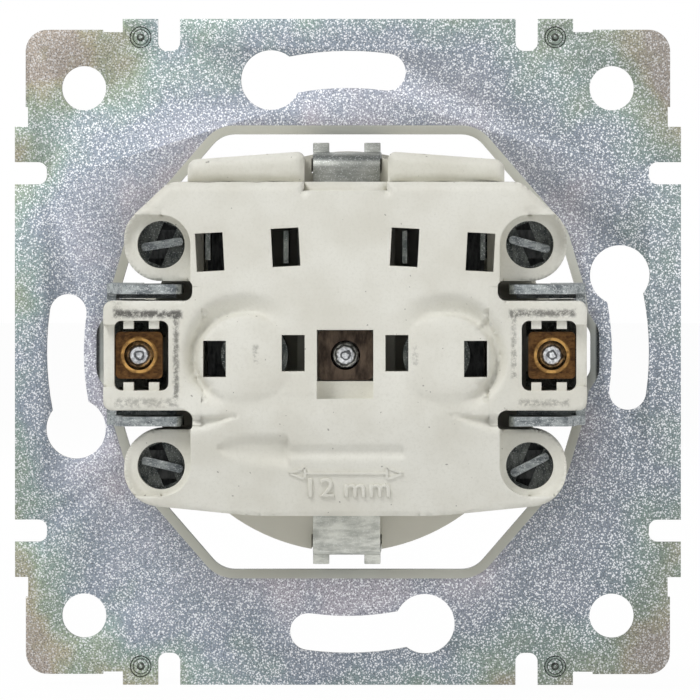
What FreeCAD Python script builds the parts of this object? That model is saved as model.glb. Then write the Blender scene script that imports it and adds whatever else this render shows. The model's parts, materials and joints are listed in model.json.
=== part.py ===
import FreeCAD, Part
import Sketcher
import math
import os

# Socket insert for a round earthed plug, seen from behind in its wall box.
# +Y points to the rear, into the box. Y = 0 is the rear face of the support frame, which lies on the wall.
# X runs to the left and Z up for someone who looks at the rear, so "left" is +X in every name below.

doc = FreeCAD.newDocument("socket_insert")
sheet = doc.addObject("Spreadsheet::Sheet", "Sizes")

# Driving sizes in millimetres and degrees
SIZES = [
    # support frame
    ("plate_half", 35.35), ("plate_thickness", 1.2), ("plate_corner", 2.3),
    ("notch_inner", 17.8), ("notch_width", 2.35), ("notch_depth", 3.4), ("notch_round", 0.9),
    ("step_start", 23.9), ("step_end", 26.0), ("step_depth", 0.25), ("corner_relief", 1.15),
    ("corner_pitch", 56.0), ("corner_hole_radius", 2.35),
    ("key_circle_radius", 30.0), ("key_head_radius", 3.17), ("key_head_angle", 15.8),
    ("key_slot_half", 1.97), ("key_end_angle", 8.0),
    ("dimple_x", 22.0), ("dimple_z", 33.4), ("dimple_radius", 1.17), ("dimple_depth", 0.35),
    ("opening_half", 23.1), ("opening_flat", 13.4), ("opening_knee_x", 22.4), ("opening_knee_z", 12.7),
    ("opening_hip_x", 24.2), ("opening_hip_z", 6.6), ("opening_side", 24.65), ("opening_round", 3.0),
    ("bulge_half", 3.5), ("bulge_reach", 25.75), ("collar_wall", 1.0), ("collar_length", 1.8),
    ("bend_radius", 0.95), ("tab_length", 3.2), ("tab_root", 0.6),
    # plug well
    ("well_radius", 19.5), ("well_wall", 1.4), ("well_depth", 17.5), ("well_front", 9.0),
    ("well_floor", 3.0), ("lip_radius", 21.3), ("lip_height", 1.5), ("pin_spacing", 19.0),
    ("pin_hole_radius", 2.7), ("pin_radius", 2.4), ("nose_half", 3.9), ("nose_wall", 1.3),
    ("nose_start", 2.5), ("well_boss_radius", 5.2), ("well_boss_height", 1.2),
    ("clip_slot_start", 3.0), ("clip_slot_inner", 19.0), ("wing_thickness", 2.0),
    ("wing_root", 0.5), ("pillar_gap", 0.5),
    # rear base
    ("base_top", 18.1), ("base_bottom", 16.75), ("base_rear", 27.0), ("base_skin", 2.0),
    ("base_wall", 1.1), ("ear_rear", 23.0), ("ear_radius", 3.85), ("ear_shoulder_x", 18.4),
    ("slope_start", 6.3), ("slope_drop", 3.0), ("slope_margin", 2.0), ("slope_round", 6.0),
    ("entry_x", 19.25), ("entry_z", 11.55), ("entry_radius", 2.48), ("entry_rim_radius", 3.15),
    ("ear_rise", 2.1), ("ear_round", 3.4), ("ear_foot_round", 3.8), ("shoulder_round", 2.2),
    ("bottom_round", 40.0), ("slot_round", 0.5), ("arm_round", 0.9), ("chamber_trim", 0.95),
    ("arm_half", 5.7), ("arm_reach", 25.2), ("arm_rear", 26.5), ("arm_inner", 15.9),
    ("band_reach", 0.9), ("band_trim", 0.5),
    ("slot_height", 2.05), ("rim_wall", 1.1), ("rim_drop", 1.6), ("rim_depth", 3.4),
    ("rim_cut", 0.8), ("rim_trim", 0.4), ("pocket_round", 0.8),
    ("pocket_half", 3.65), ("pocket_inner", 18.4), ("pocket_floor", 2.4),
    ("tooth_width", 1.05), ("tooth_height", 0.85), ("tooth_inset", 1.0), ("tooth_root", 0.2),
    ("tooth_drop", 0.4),
    ("boss_radius", 4.7), ("dish_radius", 5.9), ("dish_depth", 1.0), ("dish_slant", 42.0),
    ("dish_shift", 0.9), ("boss_rise", 0.4),
    ("shoulder_rear", 18.5), ("shoulder_inner", 4.4), ("shoulder_outer", 16.6),
    ("shoulder_top", 21.3), ("shoulder_side", 20.4), ("shoulder_root", 1.0),
    ("shoulder_outer_round", 1.0), ("shoulder_inner_round", 0.8),
    ("top_notch_half", 4.35), ("top_notch_depth", 0.9), ("top_notch_floor", 20.5),
    ("chamber_inset", 0.7), ("chamber_slant", 1.7), ("deep_rise", 2.0),
    ("window_floor_drop", 3.0), ("earth_room_start", 7.9), ("earth_room_wall", 0.5),
    ("earth_room_divider", 1.0),
    ("centre_window_width", 5.9), ("centre_window_top", 2.7), ("centre_window_bottom", 4.5),
    ("upper_window_width", 2.9), ("upper_window_height", 4.0), ("upper_window_turn", 3.0),
    ("upper_outer_x", 14.1), ("upper_outer_z", 10.8), ("upper_inner_x", 6.2), ("upper_inner_z", 11.3),
    ("lower_window_width", 2.4), ("lower_window_height", 3.8),
    ("lower_outer_x", 13.6), ("lower_inner_x", 5.4), ("lower_outer_z", -0.33), ("lower_inner_z", 0.27),
    ("gauge_top", 10.0), ("gauge_height", 2.0), ("gauge_half", 6.2), ("gauge_depth", 1.5),
    ("leaf_near", 6.6), ("leaf_far", 13.8), ("leaf_top", 8.8), ("leaf_bottom", 12.2), ("leaf_depth", 1.4),
    # screws, nuts and claws
    ("thread_radius", 1.5), ("thread_gap", 0.05), ("screw_gap", 0.15), ("screw_chamfer", 0.3),
    ("centre_head_radius", 2.9), ("centre_head_height", 1.9), ("claw_spacing", 43.1),
    ("claw_head_radius", 2.3), ("claw_head_height", 1.8), ("driver_slot", 0.7), ("driver_depth", 1.0),
    ("flute_gap", 0.5), ("claw_sheet", 1.0), ("claw_web_gap", 0.1), ("claw_leg_gap", 0.7),
    ("claw_neck_half", 2.0), ("claw_neck_reach", 1.6), ("claw_web_trim", 0.2), ("claw_flank_start", 4.0),
    ("claw_foot", 1.5), ("claw_leg_foot", 4.0), ("claw_leg_inner", 17.1), ("claw_leg_rear", 24.6),
    ("claw_leg_start", 1.2), ("claw_well_gap", 0.6), ("claw_leg_round", 0.8), ("claw_step_gap", 0.15),
    ("claw_step_height", 1.2),
    ("claw_tooth", 0.9), ("claw_tooth_start", 6.6), ("claw_tooth_pitch", 2.4), ("claw_tooth_rise", 1.4),
    ("claw_web_top", 8.0),
    ("claw_fold", 20.2), ("claw_fork_drop", 5.2), ("claw_fork_half", 3.35), ("claw_fork_sheet", 1.4),
    ("claw_fork_root", 0.2), ("claw_slit_gap", 0.3), ("claw_slit_end", 0.5),
    ("nut_side", 4.9), ("nut_thickness", 1.5), ("nut_rest_gap", 0.3), ("collar_radius", 1.85),
    ("nut_round", 0.5), ("centre_nut_round", 0.6), ("collar_rise", 0.8), ("screw_tip", 0.2),
    # contacts, clamps and earth bracket
    ("part_gap", 0.1), ("sleeve_wall", 0.6), ("sleeve_start", 1.0), ("sleeve_slit", 0.8),
    ("bus_thickness", 0.8), ("bus_level", 16.0), ("bus_width", 3.0), ("bus_reach", 2.4),
    ("bus_round", 1.0), ("bus_gap", 0.3), ("link_half", 1.6), ("ring_wall", 0.5),
    ("ring_height", 4.5), ("ring_level", 18.0), ("ring_mouth", 2.2),
    ("clamp_sheet", 0.5), ("clamp_radius", 2.7), ("clamp_window", 1.5), ("clamp_window_length", 4.4),
    ("clamp_lean", 22.0), ("clamp_strip_half", 1.2), ("clamp_stand_half", 1.6),
    ("upper_leaf_rise", 7.0), ("lower_leaf_rise", 4.0), ("bar_length", 4.4), ("bar_width", 0.85),
    ("bar_rise", 1.8), ("bar_round", 0.38), ("lean_upper_left", -9.0), ("lean_upper_right", 15.0),
    ("lean_lower_left", 13.0), ("lean_lower_right", -27.0),
    ("earth_spring_half", 1.7), ("earth_spring_drop", 1.5),
    ("earth_sheet", 1.0), ("earth_width", 7.1), ("earth_bend", 1.2), ("earth_hook_bend", 0.72),
    ("earth_reach", 21.2), ("earth_front", 5.0), ("earth_dip", 3.6), ("earth_dip_bend", 1.5),
    ("earth_hook", 2.2), ("earth_dip_start", 5.5), ("earth_tail_start", 11.5), ("earth_tail", 2.0),
    ("earth_tab_width", 1.7), ("earth_tab_start", 2.5), ("earth_tab_end", 1.3),
    ("earth_tab_rise", 1.0), ("centre_nut_thickness", 1.5), ("centre_nut_level", 21.0),
]


class Size:
    """A number with the spreadsheet formula that it comes from."""

    def __init__(self, number, text):
        self.number = float(number)
        self.text = text

    def _join(self, other, sign, turned=False):
        other = other if isinstance(other, Size) else Size(other, repr(float(other)))
        a, b = (other, self) if turned else (self, other)
        table = {"+": a.number + b.number, "-": a.number - b.number, "*": a.number * b.number}
        number = a.number / b.number if sign == "/" else table[sign]
        return Size(number, "(%s %s %s)" % (a.text, sign, b.text))

    def __add__(self, other):
        return self._join(other, "+")

    def __radd__(self, other):
        return self._join(other, "+", True)

    def __sub__(self, other):
        return self._join(other, "-")

    def __rsub__(self, other):
        return self._join(other, "-", True)

    def __mul__(self, other):
        return self._join(other, "*")

    def __rmul__(self, other):
        return self._join(other, "*", True)

    def __truediv__(self, other):
        return self._join(other, "/")

    def __neg__(self):
        return Size(-self.number, "(-1 * %s)" % self.text)


class Sizes:
    """The sheet's sizes by name."""


s = Sizes()
for row, (name, number) in enumerate(SIZES, start=1):
    cell = "A%d" % row
    sheet.set(cell, str(number))
    sheet.setAlias(cell, name)
    setattr(s, name, Size(number, "Sizes.%s" % name))
doc.recompute()


def as_size(value):
    return value if isinstance(value, Size) else Size(value, repr(float(value)))


def sine(angle):
    return Size(math.sin(math.radians(angle.number)), "sin(%s * 1deg)" % angle.text)


def cosine(angle):
    return Size(math.cos(math.radians(angle.number)), "cos(%s * 1deg)" % angle.text)


# Sketch planes: the origin plane's role, and the sign of its normal along the world axis
REAR = ("XZ_Plane", -1)
SIDE = ("YZ_Plane", 1)
LEVEL = ("XY_Plane", 1)

# Levels along Y that several pieces share
plate_front = -s.plate_thickness
well_face = -s.well_front
floor_front = s.well_depth - s.well_front
floor_rear = floor_front + s.well_floor
pin_x = s.pin_spacing / 2
claw_x = s.claw_spacing / 2
well_outer = s.well_radius + s.well_wall
pillar_inner = well_outer + s.pillar_gap
web_inner = s.arm_reach - s.claw_web_gap - s.claw_sheet
web_outer = web_inner + s.claw_sheet
pillar_outer = web_inner - s.part_gap
pocket_outer = s.arm_reach - s.rim_wall
slot_outer = s.arm_half + s.slot_height
leg_inner = s.arm_half + s.claw_leg_gap
leg_outer = leg_inner + s.claw_sheet
pocket_level = floor_rear + s.pocket_floor
chamber_rear = s.base_rear - s.base_skin
boss_face = s.base_rear + s.boss_rise
rim_level = s.arm_rear - s.rim_drop - s.rim_depth
nut_front = s.claw_fold + s.claw_sheet + s.nut_rest_gap
nut_rear = nut_front + s.nut_thickness

# How far a cutting outline runs past the material that it takes away, and the slack in finding edges
CLEAR = 1.0
EDGE_MARGIN = 0.1

# Which of an outline's two mirrored copies belongs to a side
SIDE_ROW = {1: 0, -1: 1}


def new_body(name):
    body = doc.addObject("PartDesign::Body", name)
    body.Label = name
    return body


class Drawing:
    """A sketch on an origin plane whose points and radii follow the sheet."""

    def __init__(self, body, plane, level):
        role, sign = plane
        support = [item for item in body.Origin.OriginFeatures if item.Role == role][0]
        self.sketch = body.newObject("Sketcher::SketchObject", body.Name + "_sketch")
        self.sketch.AttachmentSupport = [(support, "")]
        self.sketch.MapMode = "FlatFace"
        place = as_size(level) * sign
        offset = FreeCAD.Vector(0, 0, place.number)
        self.sketch.AttachmentOffset = FreeCAD.Placement(offset, FreeCAD.Rotation())
        self.sketch.setExpression(".AttachmentOffset.Base.z", place.text)
        self.rules = []
        self.formulas = []

    def add(self, shape, construction=False):
        return self.sketch.addGeometry(shape, construction)

    def rule(self, *parts):
        self.rules.append(Sketcher.Constraint(*parts))

    def hold(self, shape, end, point):
        """Keeps one point of a shape at a place that the sheet sets."""
        for kind, value in zip(("DistanceX", "DistanceY"), point):
            value = as_size(value)
            self.formulas.append((len(self.rules), value.text))
            self.rule(kind, -1, 1, shape, end, value.number)

    def radius(self, shape, radius):
        self.formulas.append((len(self.rules), as_size(radius).text))
        self.rule("Radius", shape, as_size(radius).number)

    def circle(self, x, y, radius):
        centre = flat_vector((x, y))
        shape = self.add(Part.Circle(centre, FreeCAD.Vector(0, 0, 1), as_size(radius).number))
        self.hold(shape, 3, (x, y))
        self.radius(shape, radius)

    def path(self, corners, closed=True):
        """Straight runs between corners. A corner with a third value is rounded to that radius."""
        count = len(corners)
        spots = [flat_vector(corner) for corner in corners]
        trims = []
        for i, corner in enumerate(corners):
            before = spots[i - 1] - spots[i]
            after = spots[(i + 1) % count] - spots[i]
            if len(corner) < 3:
                trims.append((spots[i], spots[i]))
                continue
            reach = as_size(corner[2]).number / math.tan(before.getAngle(after) / 2)
            trims.append((spots[i] + before.normalize() * reach, spots[i] + after.normalize() * reach))
        runs = count if closed else count - 1
        lines = []
        for i in range(runs):
            lines.append(self.add(Part.LineSegment(trims[i][1], trims[(i + 1) % count][0])))
        for i, corner in enumerate(corners):
            if not closed and i == 0:
                self.hold(lines[0], 1, corner[:2])
            elif not closed and i == count - 1:
                self.hold(lines[-1], 2, corner[:2])
            elif len(corner) < 3:
                self.rule("Coincident", lines[i - 1], 2, lines[i], 1)
                self.hold(lines[i], 1, corner[:2])
            else:
                self.round_corner(spots[i], trims[i], lines[i - 1], lines[i], corner)

    def round_corner(self, spot, trim, before, after, corner):
        """A tangent arc between two runs whose lines meet at the corner's own point."""
        start, end = trim
        turns_left = (spot - start).cross(end - spot).z > 0
        normal = FreeCAD.Vector(0, 0, 1).cross(spot - start).normalize()
        centre = start + normal * as_size(corner[2]).number * (1 if turns_left else -1)
        first, second = (start, end) if turns_left else (end, start)
        low = math.atan2(first.y - centre.y, first.x - centre.x)
        high = math.atan2(second.y - centre.y, second.x - centre.x)
        circle = Part.Circle(centre, FreeCAD.Vector(0, 0, 1), as_size(corner[2]).number)
        arc = self.add(Part.ArcOfCircle(circle, low, high))
        point = self.add(Part.Point(spot), True)
        self.rule("Tangent", before, 2, arc, 1 if turns_left else 2)
        self.rule("Tangent", after, 1, arc, 2 if turns_left else 1)
        self.rule("PointOnObject", point, 1, before)
        self.rule("PointOnObject", point, 1, after)
        self.hold(point, 1, corner[:2])
        self.radius(arc, corner[2])

    def finish(self):
        """Adds all rules in one go, then ties the measured ones to their formulas."""
        self.sketch.addConstraint(self.rules)
        for index, text in self.formulas:
            self.sketch.setExpression("Constraints[%d]" % index, text)
        return self.sketch


def flat_vector(point):
    return FreeCAD.Vector(as_size(point[0]).number, as_size(point[1]).number, 0)


def box_corners(x0, y0, x1, y1, radius=None):
    corners = [(x0, y0), (x1, y0), (x1, y1), (x0, y1)]
    return corners if radius is None else [corner + (radius,) for corner in corners]


def turned_box(x, y, width, height, turn):
    """A rectangle about its own centre, turned by an angle in degrees."""
    corners = []
    for a, b in ((-1, -1), (1, -1), (1, 1), (-1, 1)):
        along = width * a / 2
        across = height * b / 2
        corners.append((x + along * cosine(turn) - across * sine(turn),
                        y + along * sine(turn) + across * cosine(turn)))
    return corners


def both_sides(corners):
    """The same outline at the left and at the right of the middle."""
    return [corners, [(-as_size(c[0]),) + tuple(c[1:]) for c in reversed(corners)]]


def four_ways(corners):
    """The same outline in the four quarters."""
    halves = both_sides(corners)
    flipped = [[(c[0], -as_size(c[1])) + tuple(c[2:]) for c in reversed(half)] for half in halves]
    return halves + flipped


def draw(body, plane, level, outlines=(), circles=()):
    drawing = Drawing(body, plane, level)
    for outline in outlines:
        drawing.path(outline)
    for circle in circles:
        drawing.circle(*circle)
    return drawing.finish()


def pad(body, plane, low, high, outlines=(), circles=()):
    """Adds material from one level to another along the plane's axis."""
    sketch = draw(body, plane, low, outlines, circles)
    feature = body.newObject("PartDesign::Pad", body.Name + "_pad")
    feature.Profile = sketch
    feature.Reversed = plane[1] < 0
    feature.Refine = False
    feature.setExpression("Length", (as_size(high) - low).text)
    doc.recompute()
    return feature


def cut(body, plane, low, high, outlines=(), circles=()):
    """Takes material away from one level to another along the plane's axis."""
    before = body.Shape.Volume
    sketch = draw(body, plane, low, outlines, circles)
    feature = body.newObject("PartDesign::Pocket", body.Name + "_pocket")
    feature.Profile = sketch
    feature.Reversed = plane[1] > 0
    feature.Refine = False
    feature.setExpression("Length", (as_size(high) - low).text)
    doc.recompute()
    if not body.Shape.Volume < before - 1e-6:
        raise RuntimeError("%s removes nothing" % feature.Name)
    return feature


def round_edges(body, radius, keep, kind="PartDesign::Fillet"):
    """Rounds or chamfers the edges that a test picks."""
    base = body.Tip
    names = ["Edge%d" % (i + 1) for i, edge in enumerate(base.Shape.Edges) if keep(edge)]
    feature = body.newObject(kind, body.Name + "_edges")
    feature.Base = (base, names)
    feature.setExpression("Radius" if kind.endswith("Fillet") else "Size", as_size(radius).text)
    doc.recompute()
    return feature


def repeat_about_y(body, features, count):
    """Repeats features in even steps round the Y axis."""
    feature = body.newObject("PartDesign::PolarPattern", body.Name + "_ring")
    feature.Originals = features
    axis = [item for item in body.Origin.OriginFeatures if item.Role == "Y_Axis"][0]
    feature.Axis = (axis, [""])
    feature.Angle = 360
    feature.Occurrences = count
    body.Tip = feature
    doc.recompute()
    return feature


def mirror_feature(body, features, plane_role):
    feature = body.newObject("PartDesign::Mirrored", body.Name + "_mirror")
    feature.Originals = features
    plane = [item for item in body.Origin.OriginFeatures if item.Role == plane_role][0]
    feature.MirrorPlane = (plane, [""])
    body.Tip = feature
    doc.recompute()
    return feature


def at_level(y):
    return lambda edge: all(abs(v.Point.y - y) < 1e-4 for v in edge.Vertexes)


# Support frame

def opening_half(grow=0.0):
    """Right half of the central window: a flat top, two slanted sides and a bulge for the claw."""
    quarter = [(s.opening_flat + grow * 0.4, s.opening_half + grow, s.opening_round),
               (s.opening_knee_x + grow * 0.9, s.opening_knee_z + grow * 0.45, s.opening_round),
               (s.opening_hip_x + grow, s.opening_hip_z + grow * 0.2, s.opening_round),
               (s.opening_side + grow, s.bulge_half + 0.3, 1.0),
               (s.bulge_reach + grow, s.bulge_half * 0.6, 1.5)]
    lower = [(c[0], -c[1], c[2]) for c in reversed(quarter)]
    return [(0, s.opening_half + grow)] + quarter + lower + [(0, -(s.opening_half + grow))]


def keyhole_slot(body):
    """A slot along the screw circle, from the keyhole's head to its rounded end."""
    drawing = Drawing(body, REAR, plate_front)
    near, far = 90 - s.key_head_angle, 90 + s.key_end_angle
    low, high = math.radians(near.number), math.radians(far.number)
    normal = FreeCAD.Vector(0, 0, 1)
    ring, half = s.key_circle_radius, s.key_slot_half
    arcs = []
    for radius in (ring + half, ring - half):
        circle = Part.Circle(FreeCAD.Vector(0, 0, 0), normal, radius.number)
        arcs.append(drawing.add(Part.ArcOfCircle(circle, low, high)))
    outer, inner = arcs
    caps = []
    for angle, start in ((low, low + math.pi), (high, high)):
        centre = FreeCAD.Vector(math.cos(angle), math.sin(angle), 0) * ring.number
        circle = Part.Circle(centre, normal, half.number)
        caps.append(drawing.add(Part.ArcOfCircle(circle, start, start + math.pi)))
    for arc in arcs:
        drawing.rule("Coincident", arc, 3, -1, 1)
    for cap, end, arc, arc_end in ((0, 2, outer, 1), (0, 1, inner, 1), (1, 1, outer, 2), (1, 2, inner, 2)):
        drawing.rule("Tangent", caps[cap], end, arc, arc_end)
    drawing.hold(caps[1], 3, (ring * cosine(far), ring * sine(far)))
    drawing.hold(caps[0], 3, (ring * cosine(near),))
    drawing.radius(caps[0], half)
    return drawing.finish()


def build_frame():
    body = new_body("support_frame")
    half = s.plate_half
    shelf = half - s.corner_relief
    pad(body, REAR, plate_front, 0, [box_corners(-shelf, -shelf, shelf, shelf, s.plate_corner)])
    rail = pad(body, REAR, plate_front, 0, [box_corners(-s.step_start, shelf - CLEAR, s.step_start, half)])
    floor = half - s.notch_depth
    step = shelf - s.step_depth
    edge = []
    for side in (1, -1):
        near, far = s.notch_inner * side, (s.notch_inner + s.notch_width) * side
        edge.append([(near, half + CLEAR), (near, floor, s.notch_round),
                     (far, floor, s.notch_round), (far, half + CLEAR)])
        edge.append([(s.step_start * side, half), (s.step_start * side, step),
                     (s.step_end * side, step), (s.step_end * side, half)])
    notches = cut(body, REAR, plate_front, 0, edge)
    repeat_about_y(body, [rail, notches], 4)
    slot = body.newObject("PartDesign::Pocket", "support_frame_slot")
    slot.Profile = keyhole_slot(body)
    slot.setExpression("Length", s.plate_thickness.text)
    doc.recompute()
    angle = 90 - s.key_head_angle
    centre = (s.key_circle_radius * cosine(angle), s.key_circle_radius * sine(angle))
    head = cut(body, REAR, plate_front, 0, circles=[centre + (s.key_head_radius,)])
    repeat_about_y(body, [slot, head], 4)
    corner = s.corner_pitch / 2
    holes = [(corner * a, corner * b, s.corner_hole_radius) for a in (1, -1) for b in (1, -1)]
    cut(body, REAR, plate_front, 0, circles=holes)
    dimples = [(s.dimple_x * a, s.dimple_z * b, s.dimple_radius) for a in (1, -1) for b in (1, -1)]
    cut(body, REAR, -s.dimple_depth, 0, circles=dimples)
    collar_front = plate_front - s.collar_length
    collar = pad(body, REAR, collar_front, plate_front, [opening_half(s.collar_wall)])
    repeat_about_y(body, [collar], 2)
    window = cut(body, REAR, collar_front, 0, [opening_half()])
    repeat_about_y(body, [window], 2)
    round_edges(body, s.bend_radius, opening_edge, "PartDesign::Chamfer")
    tab_inner = s.opening_side - s.tab_length
    tab = box_corners(tab_inner, s.pocket_half, s.opening_side + s.tab_root, s.arm_half)
    pad(body, REAR, plate_front, 0, four_ways(tab))
    return body


def opening_edge(edge):
    """True for the rim of the central opening on the plate's rear face."""
    box = edge.BoundBox
    wide = s.bulge_reach.number + EDGE_MARGIN
    high = s.opening_half.number + EDGE_MARGIN
    inside = max(-box.XMin, box.XMax) < wide and max(-box.ZMin, box.ZMax) < high
    return inside and at_level(0)(edge)


# Plug well

def build_well():
    body = new_body("plug_well")
    pad(body, REAR, well_face, floor_rear, circles=[(0, 0, well_outer)])
    pad(body, REAR, well_face, s.lip_height - s.well_front, circles=[(0, 0, s.lip_radius)])
    root = s.well_radius + s.wing_root
    wing = box_corners(root, s.pocket_half, pillar_outer, s.arm_half)
    pad(body, REAR, plate_front - s.wing_thickness, plate_front, four_ways(wing))
    cut(body, REAR, well_face, floor_front, circles=[(0, 0, s.well_radius)])
    nose_inner = claw_x - s.claw_head_radius - s.flute_gap - s.nose_wall
    nose = box_corners(nose_inner, -s.nose_half, root, s.nose_half)
    pad(body, REAR, s.nose_start - s.well_front, floor_front, both_sides(nose))
    flute = s.claw_head_radius + s.flute_gap
    cut(body, REAR, well_face, floor_rear, circles=[(claw_x, 0, flute), (-claw_x, 0, flute)])
    pad(body, REAR, floor_front - s.well_boss_height, floor_front, circles=[(0, 0, s.well_boss_radius)])
    cut(body, REAR, floor_front - s.well_boss_height, floor_front,
        circles=[(0, 0, s.centre_head_radius + s.screw_gap)])
    holes = [(pin_x, 0, s.pin_hole_radius), (-pin_x, 0, s.pin_hole_radius)]
    holes.append((0, 0, s.thread_radius + s.screw_gap))
    cut(body, REAR, floor_front, floor_rear, circles=holes)
    half = s.earth_width / 2 + s.screw_gap
    slot = box_corners(-half, s.clip_slot_inner, half, s.lip_radius + CLEAR)
    low = [(c[0], -c[1]) for c in reversed(slot)]
    cut(body, REAR, s.clip_slot_start - s.well_front, floor_rear, [slot, low])
    return body


# Rear base

def base_half():
    """Left half of the rear outline: two ears round the wire entries and the claw's arm between them."""
    ear_outer = s.entry_x + s.ear_radius
    half = [(s.ear_shoulder_x, s.base_top, s.shoulder_round),
            (ear_outer, s.entry_z + s.ear_rise, s.ear_round), (ear_outer, slot_outer, s.ear_foot_round),
            (s.arm_inner, slot_outer, s.slot_round), (s.arm_inner, s.arm_half, s.arm_round),
            (pillar_outer, s.arm_half), (pillar_outer, -s.arm_half),
            (s.arm_inner, -s.arm_half, s.arm_round), (s.arm_inner, -slot_outer, s.slot_round),
            (ear_outer, -slot_outer, s.ear_foot_round),
            (ear_outer, -(s.entry_z + s.ear_radius), s.ear_foot_round),
            (s.entry_x / 2, -s.base_bottom, s.bottom_round), (0, -s.base_bottom)]
    return [(0, s.base_top)] + half


def build_base():
    body = new_body("rear_base")
    half = pad(body, REAR, floor_rear, s.base_rear, [base_half()])
    mirror_feature(body, [half], "YZ_Plane")
    arm = box_corners(s.arm_inner + CLEAR, -s.arm_half, s.arm_reach, s.arm_half, s.arm_round)
    pad(body, REAR, rim_level, s.arm_rear, both_sides(arm))
    root = s.base_top - s.shoulder_root
    shoulder = [(s.shoulder_inner, root), (s.shoulder_outer, root),
                (s.shoulder_outer, s.shoulder_side, s.shoulder_outer_round),
                (s.shoulder_inner, s.shoulder_top, s.shoulder_inner_round)]
    pad(body, REAR, floor_rear, s.shoulder_rear, both_sides(shoulder))
    pillar = box_corners(pillar_inner, s.pocket_half, pillar_outer, s.arm_half)
    pad(body, REAR, 0, floor_rear, four_ways(pillar))
    far = s.arm_reach + CLEAR
    top = s.entry_z + s.entry_rim_radius
    wall = s.entry_x - s.entry_rim_radius
    low = slot_outer - CLEAR
    lowered = [(wall, low), (far, low), (far, top), (wall, top, s.entry_rim_radius)]
    cut(body, REAR, s.ear_rear, s.base_rear, four_ways(lowered))
    band_half = slot_outer - s.band_trim
    arm_band = box_corners(s.arm_inner - s.band_reach, -band_half, far, band_half)
    cut(body, REAR, s.arm_rear, s.base_rear, both_sides(arm_band))
    bottom = -s.base_bottom - s.slope_margin
    over = s.base_rear + CLEAR
    crest = -s.slope_start + CLEAR
    slope = [(s.base_rear, -s.slope_start, s.slope_round), (s.base_rear - s.slope_drop, bottom),
             (over, bottom), (over, crest), (s.base_rear, crest)]
    cut(body, SIDE, -far, far, [slope])
    add_dishes(body)
    add_base_chambers(body)
    add_base_openings(body)
    return body


def add_dishes(body):
    """A sunken ring with a slanted side round each boss, wider toward the claw."""
    circles = [((pin_x + s.dish_shift) * side, 0, s.dish_radius) for side in (1, -1)]
    dish = cut(body, REAR, s.base_rear - s.dish_depth, s.base_rear, circles=circles)
    dish.setExpression("TaperAngle", s.dish_slant.text)
    doc.recompute()


def add_base_chambers(body):
    """Spaces inside, open to the front and closed there by the plug well."""
    wall = s.arm_inner - s.base_wall
    inner = s.shoulder_inner + s.chamber_inset
    ear_inner = s.ear_radius - s.chamber_trim
    slant = s.chamber_slant
    top = s.entry_z + ear_inner
    low = s.entry_z - ear_inner
    reach = s.entry_x + ear_inner
    side_wall = s.upper_inner_x + s.upper_window_width / 2 + s.earth_room_wall
    ceiling = s.ear_rear - s.base_skin
    crown = s.arm_half + CLEAR
    middle = side_wall + s.earth_room_divider
    deep_foot = -top + s.deep_rise
    chamber = [(inner, crown), (middle, crown), (middle, top), (reach - slant, top), (reach, top - slant),
               (reach, low + slant), (reach - slant, low), (wall, low), (wall, -low), (reach - slant, -low),
               (reach, -low - slant), (reach, -top + slant), (reach - slant, -top), (inner, -top)]
    cut(body, REAR, floor_rear, ceiling, both_sides(chamber))
    deep = [(inner, crown), (middle, crown), (middle, top), (wall, top), (wall, deep_foot),
            (inner, deep_foot)]
    cut(body, REAR, ceiling, chamber_rear, both_sides(deep))
    earth = box_corners(inner, s.earth_room_start, side_wall, top)
    cut(body, REAR, floor_rear, chamber_rear, both_sides(earth))
    groove = s.earth_width / 2 + s.part_gap
    cut(body, REAR, floor_rear, floor_rear + s.earth_sheet + s.part_gap,
        [box_corners(-groove, -s.base_bottom - CLEAR, groove, s.base_top + CLEAR)])


def add_base_openings(body):
    """Windows, wire entries, bosses and pockets that show on the rear."""
    entries = [(s.entry_x * a, s.entry_z * b, s.entry_radius) for a in (1, -1) for b in (1, -1)]
    cut(body, REAR, s.ear_rear - s.base_skin, s.ear_rear, circles=entries)
    windows = []
    width, height, turn = s.upper_window_width, s.upper_window_height, -s.upper_window_turn
    for x, z in ((s.upper_outer_x, s.upper_outer_z), (s.upper_inner_x, s.upper_inner_z)):
        windows += both_sides(turned_box(x, z, width, height, turn))
    cut(body, REAR, chamber_rear, s.base_rear, windows)
    pad(body, REAR, chamber_rear, boss_face, circles=[(pin_x * a, 0, s.boss_radius) for a in (1, -1)])
    windows = []
    width, height = s.lower_window_width / 2, s.lower_window_height / 2
    for x, z in ((s.lower_outer_x, s.lower_outer_z), (s.lower_inner_x, s.lower_inner_z)):
        windows += both_sides(box_corners(x - width, z - height, x + width, z + height))
    cut(body, REAR, chamber_rear, boss_face, windows)
    half = s.centre_window_width / 2
    cut(body, REAR, s.centre_nut_level, s.base_rear,
        [box_corners(-half, -s.centre_window_top, half, s.centre_window_top)])
    cut(body, REAR, s.base_rear - s.window_floor_drop, s.base_rear,
        [box_corners(-half, -s.centre_window_bottom, half, -s.centre_window_top)])
    cut(body, REAR, floor_rear, s.centre_nut_level, circles=[(0, 0, s.thread_radius + s.screw_gap)])
    add_pockets(body)
    notch_foot = s.base_top - s.top_notch_depth
    notch = box_corners(-s.top_notch_half, notch_foot, s.top_notch_half, s.base_top + CLEAR)
    cut(body, REAR, s.top_notch_floor, s.base_rear, [notch])
    ledge = box_corners(-s.gauge_half, -s.gauge_top - s.gauge_height, s.gauge_half, -s.gauge_top)
    cut(body, REAR, s.base_rear - s.gauge_depth, s.base_rear, [ledge])
    leaf = [(s.leaf_near, -s.leaf_top), (s.leaf_near, -s.leaf_bottom), (s.leaf_far, -s.leaf_top)]
    cut(body, REAR, s.base_rear - s.leaf_depth, s.base_rear, [leaf])


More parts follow.
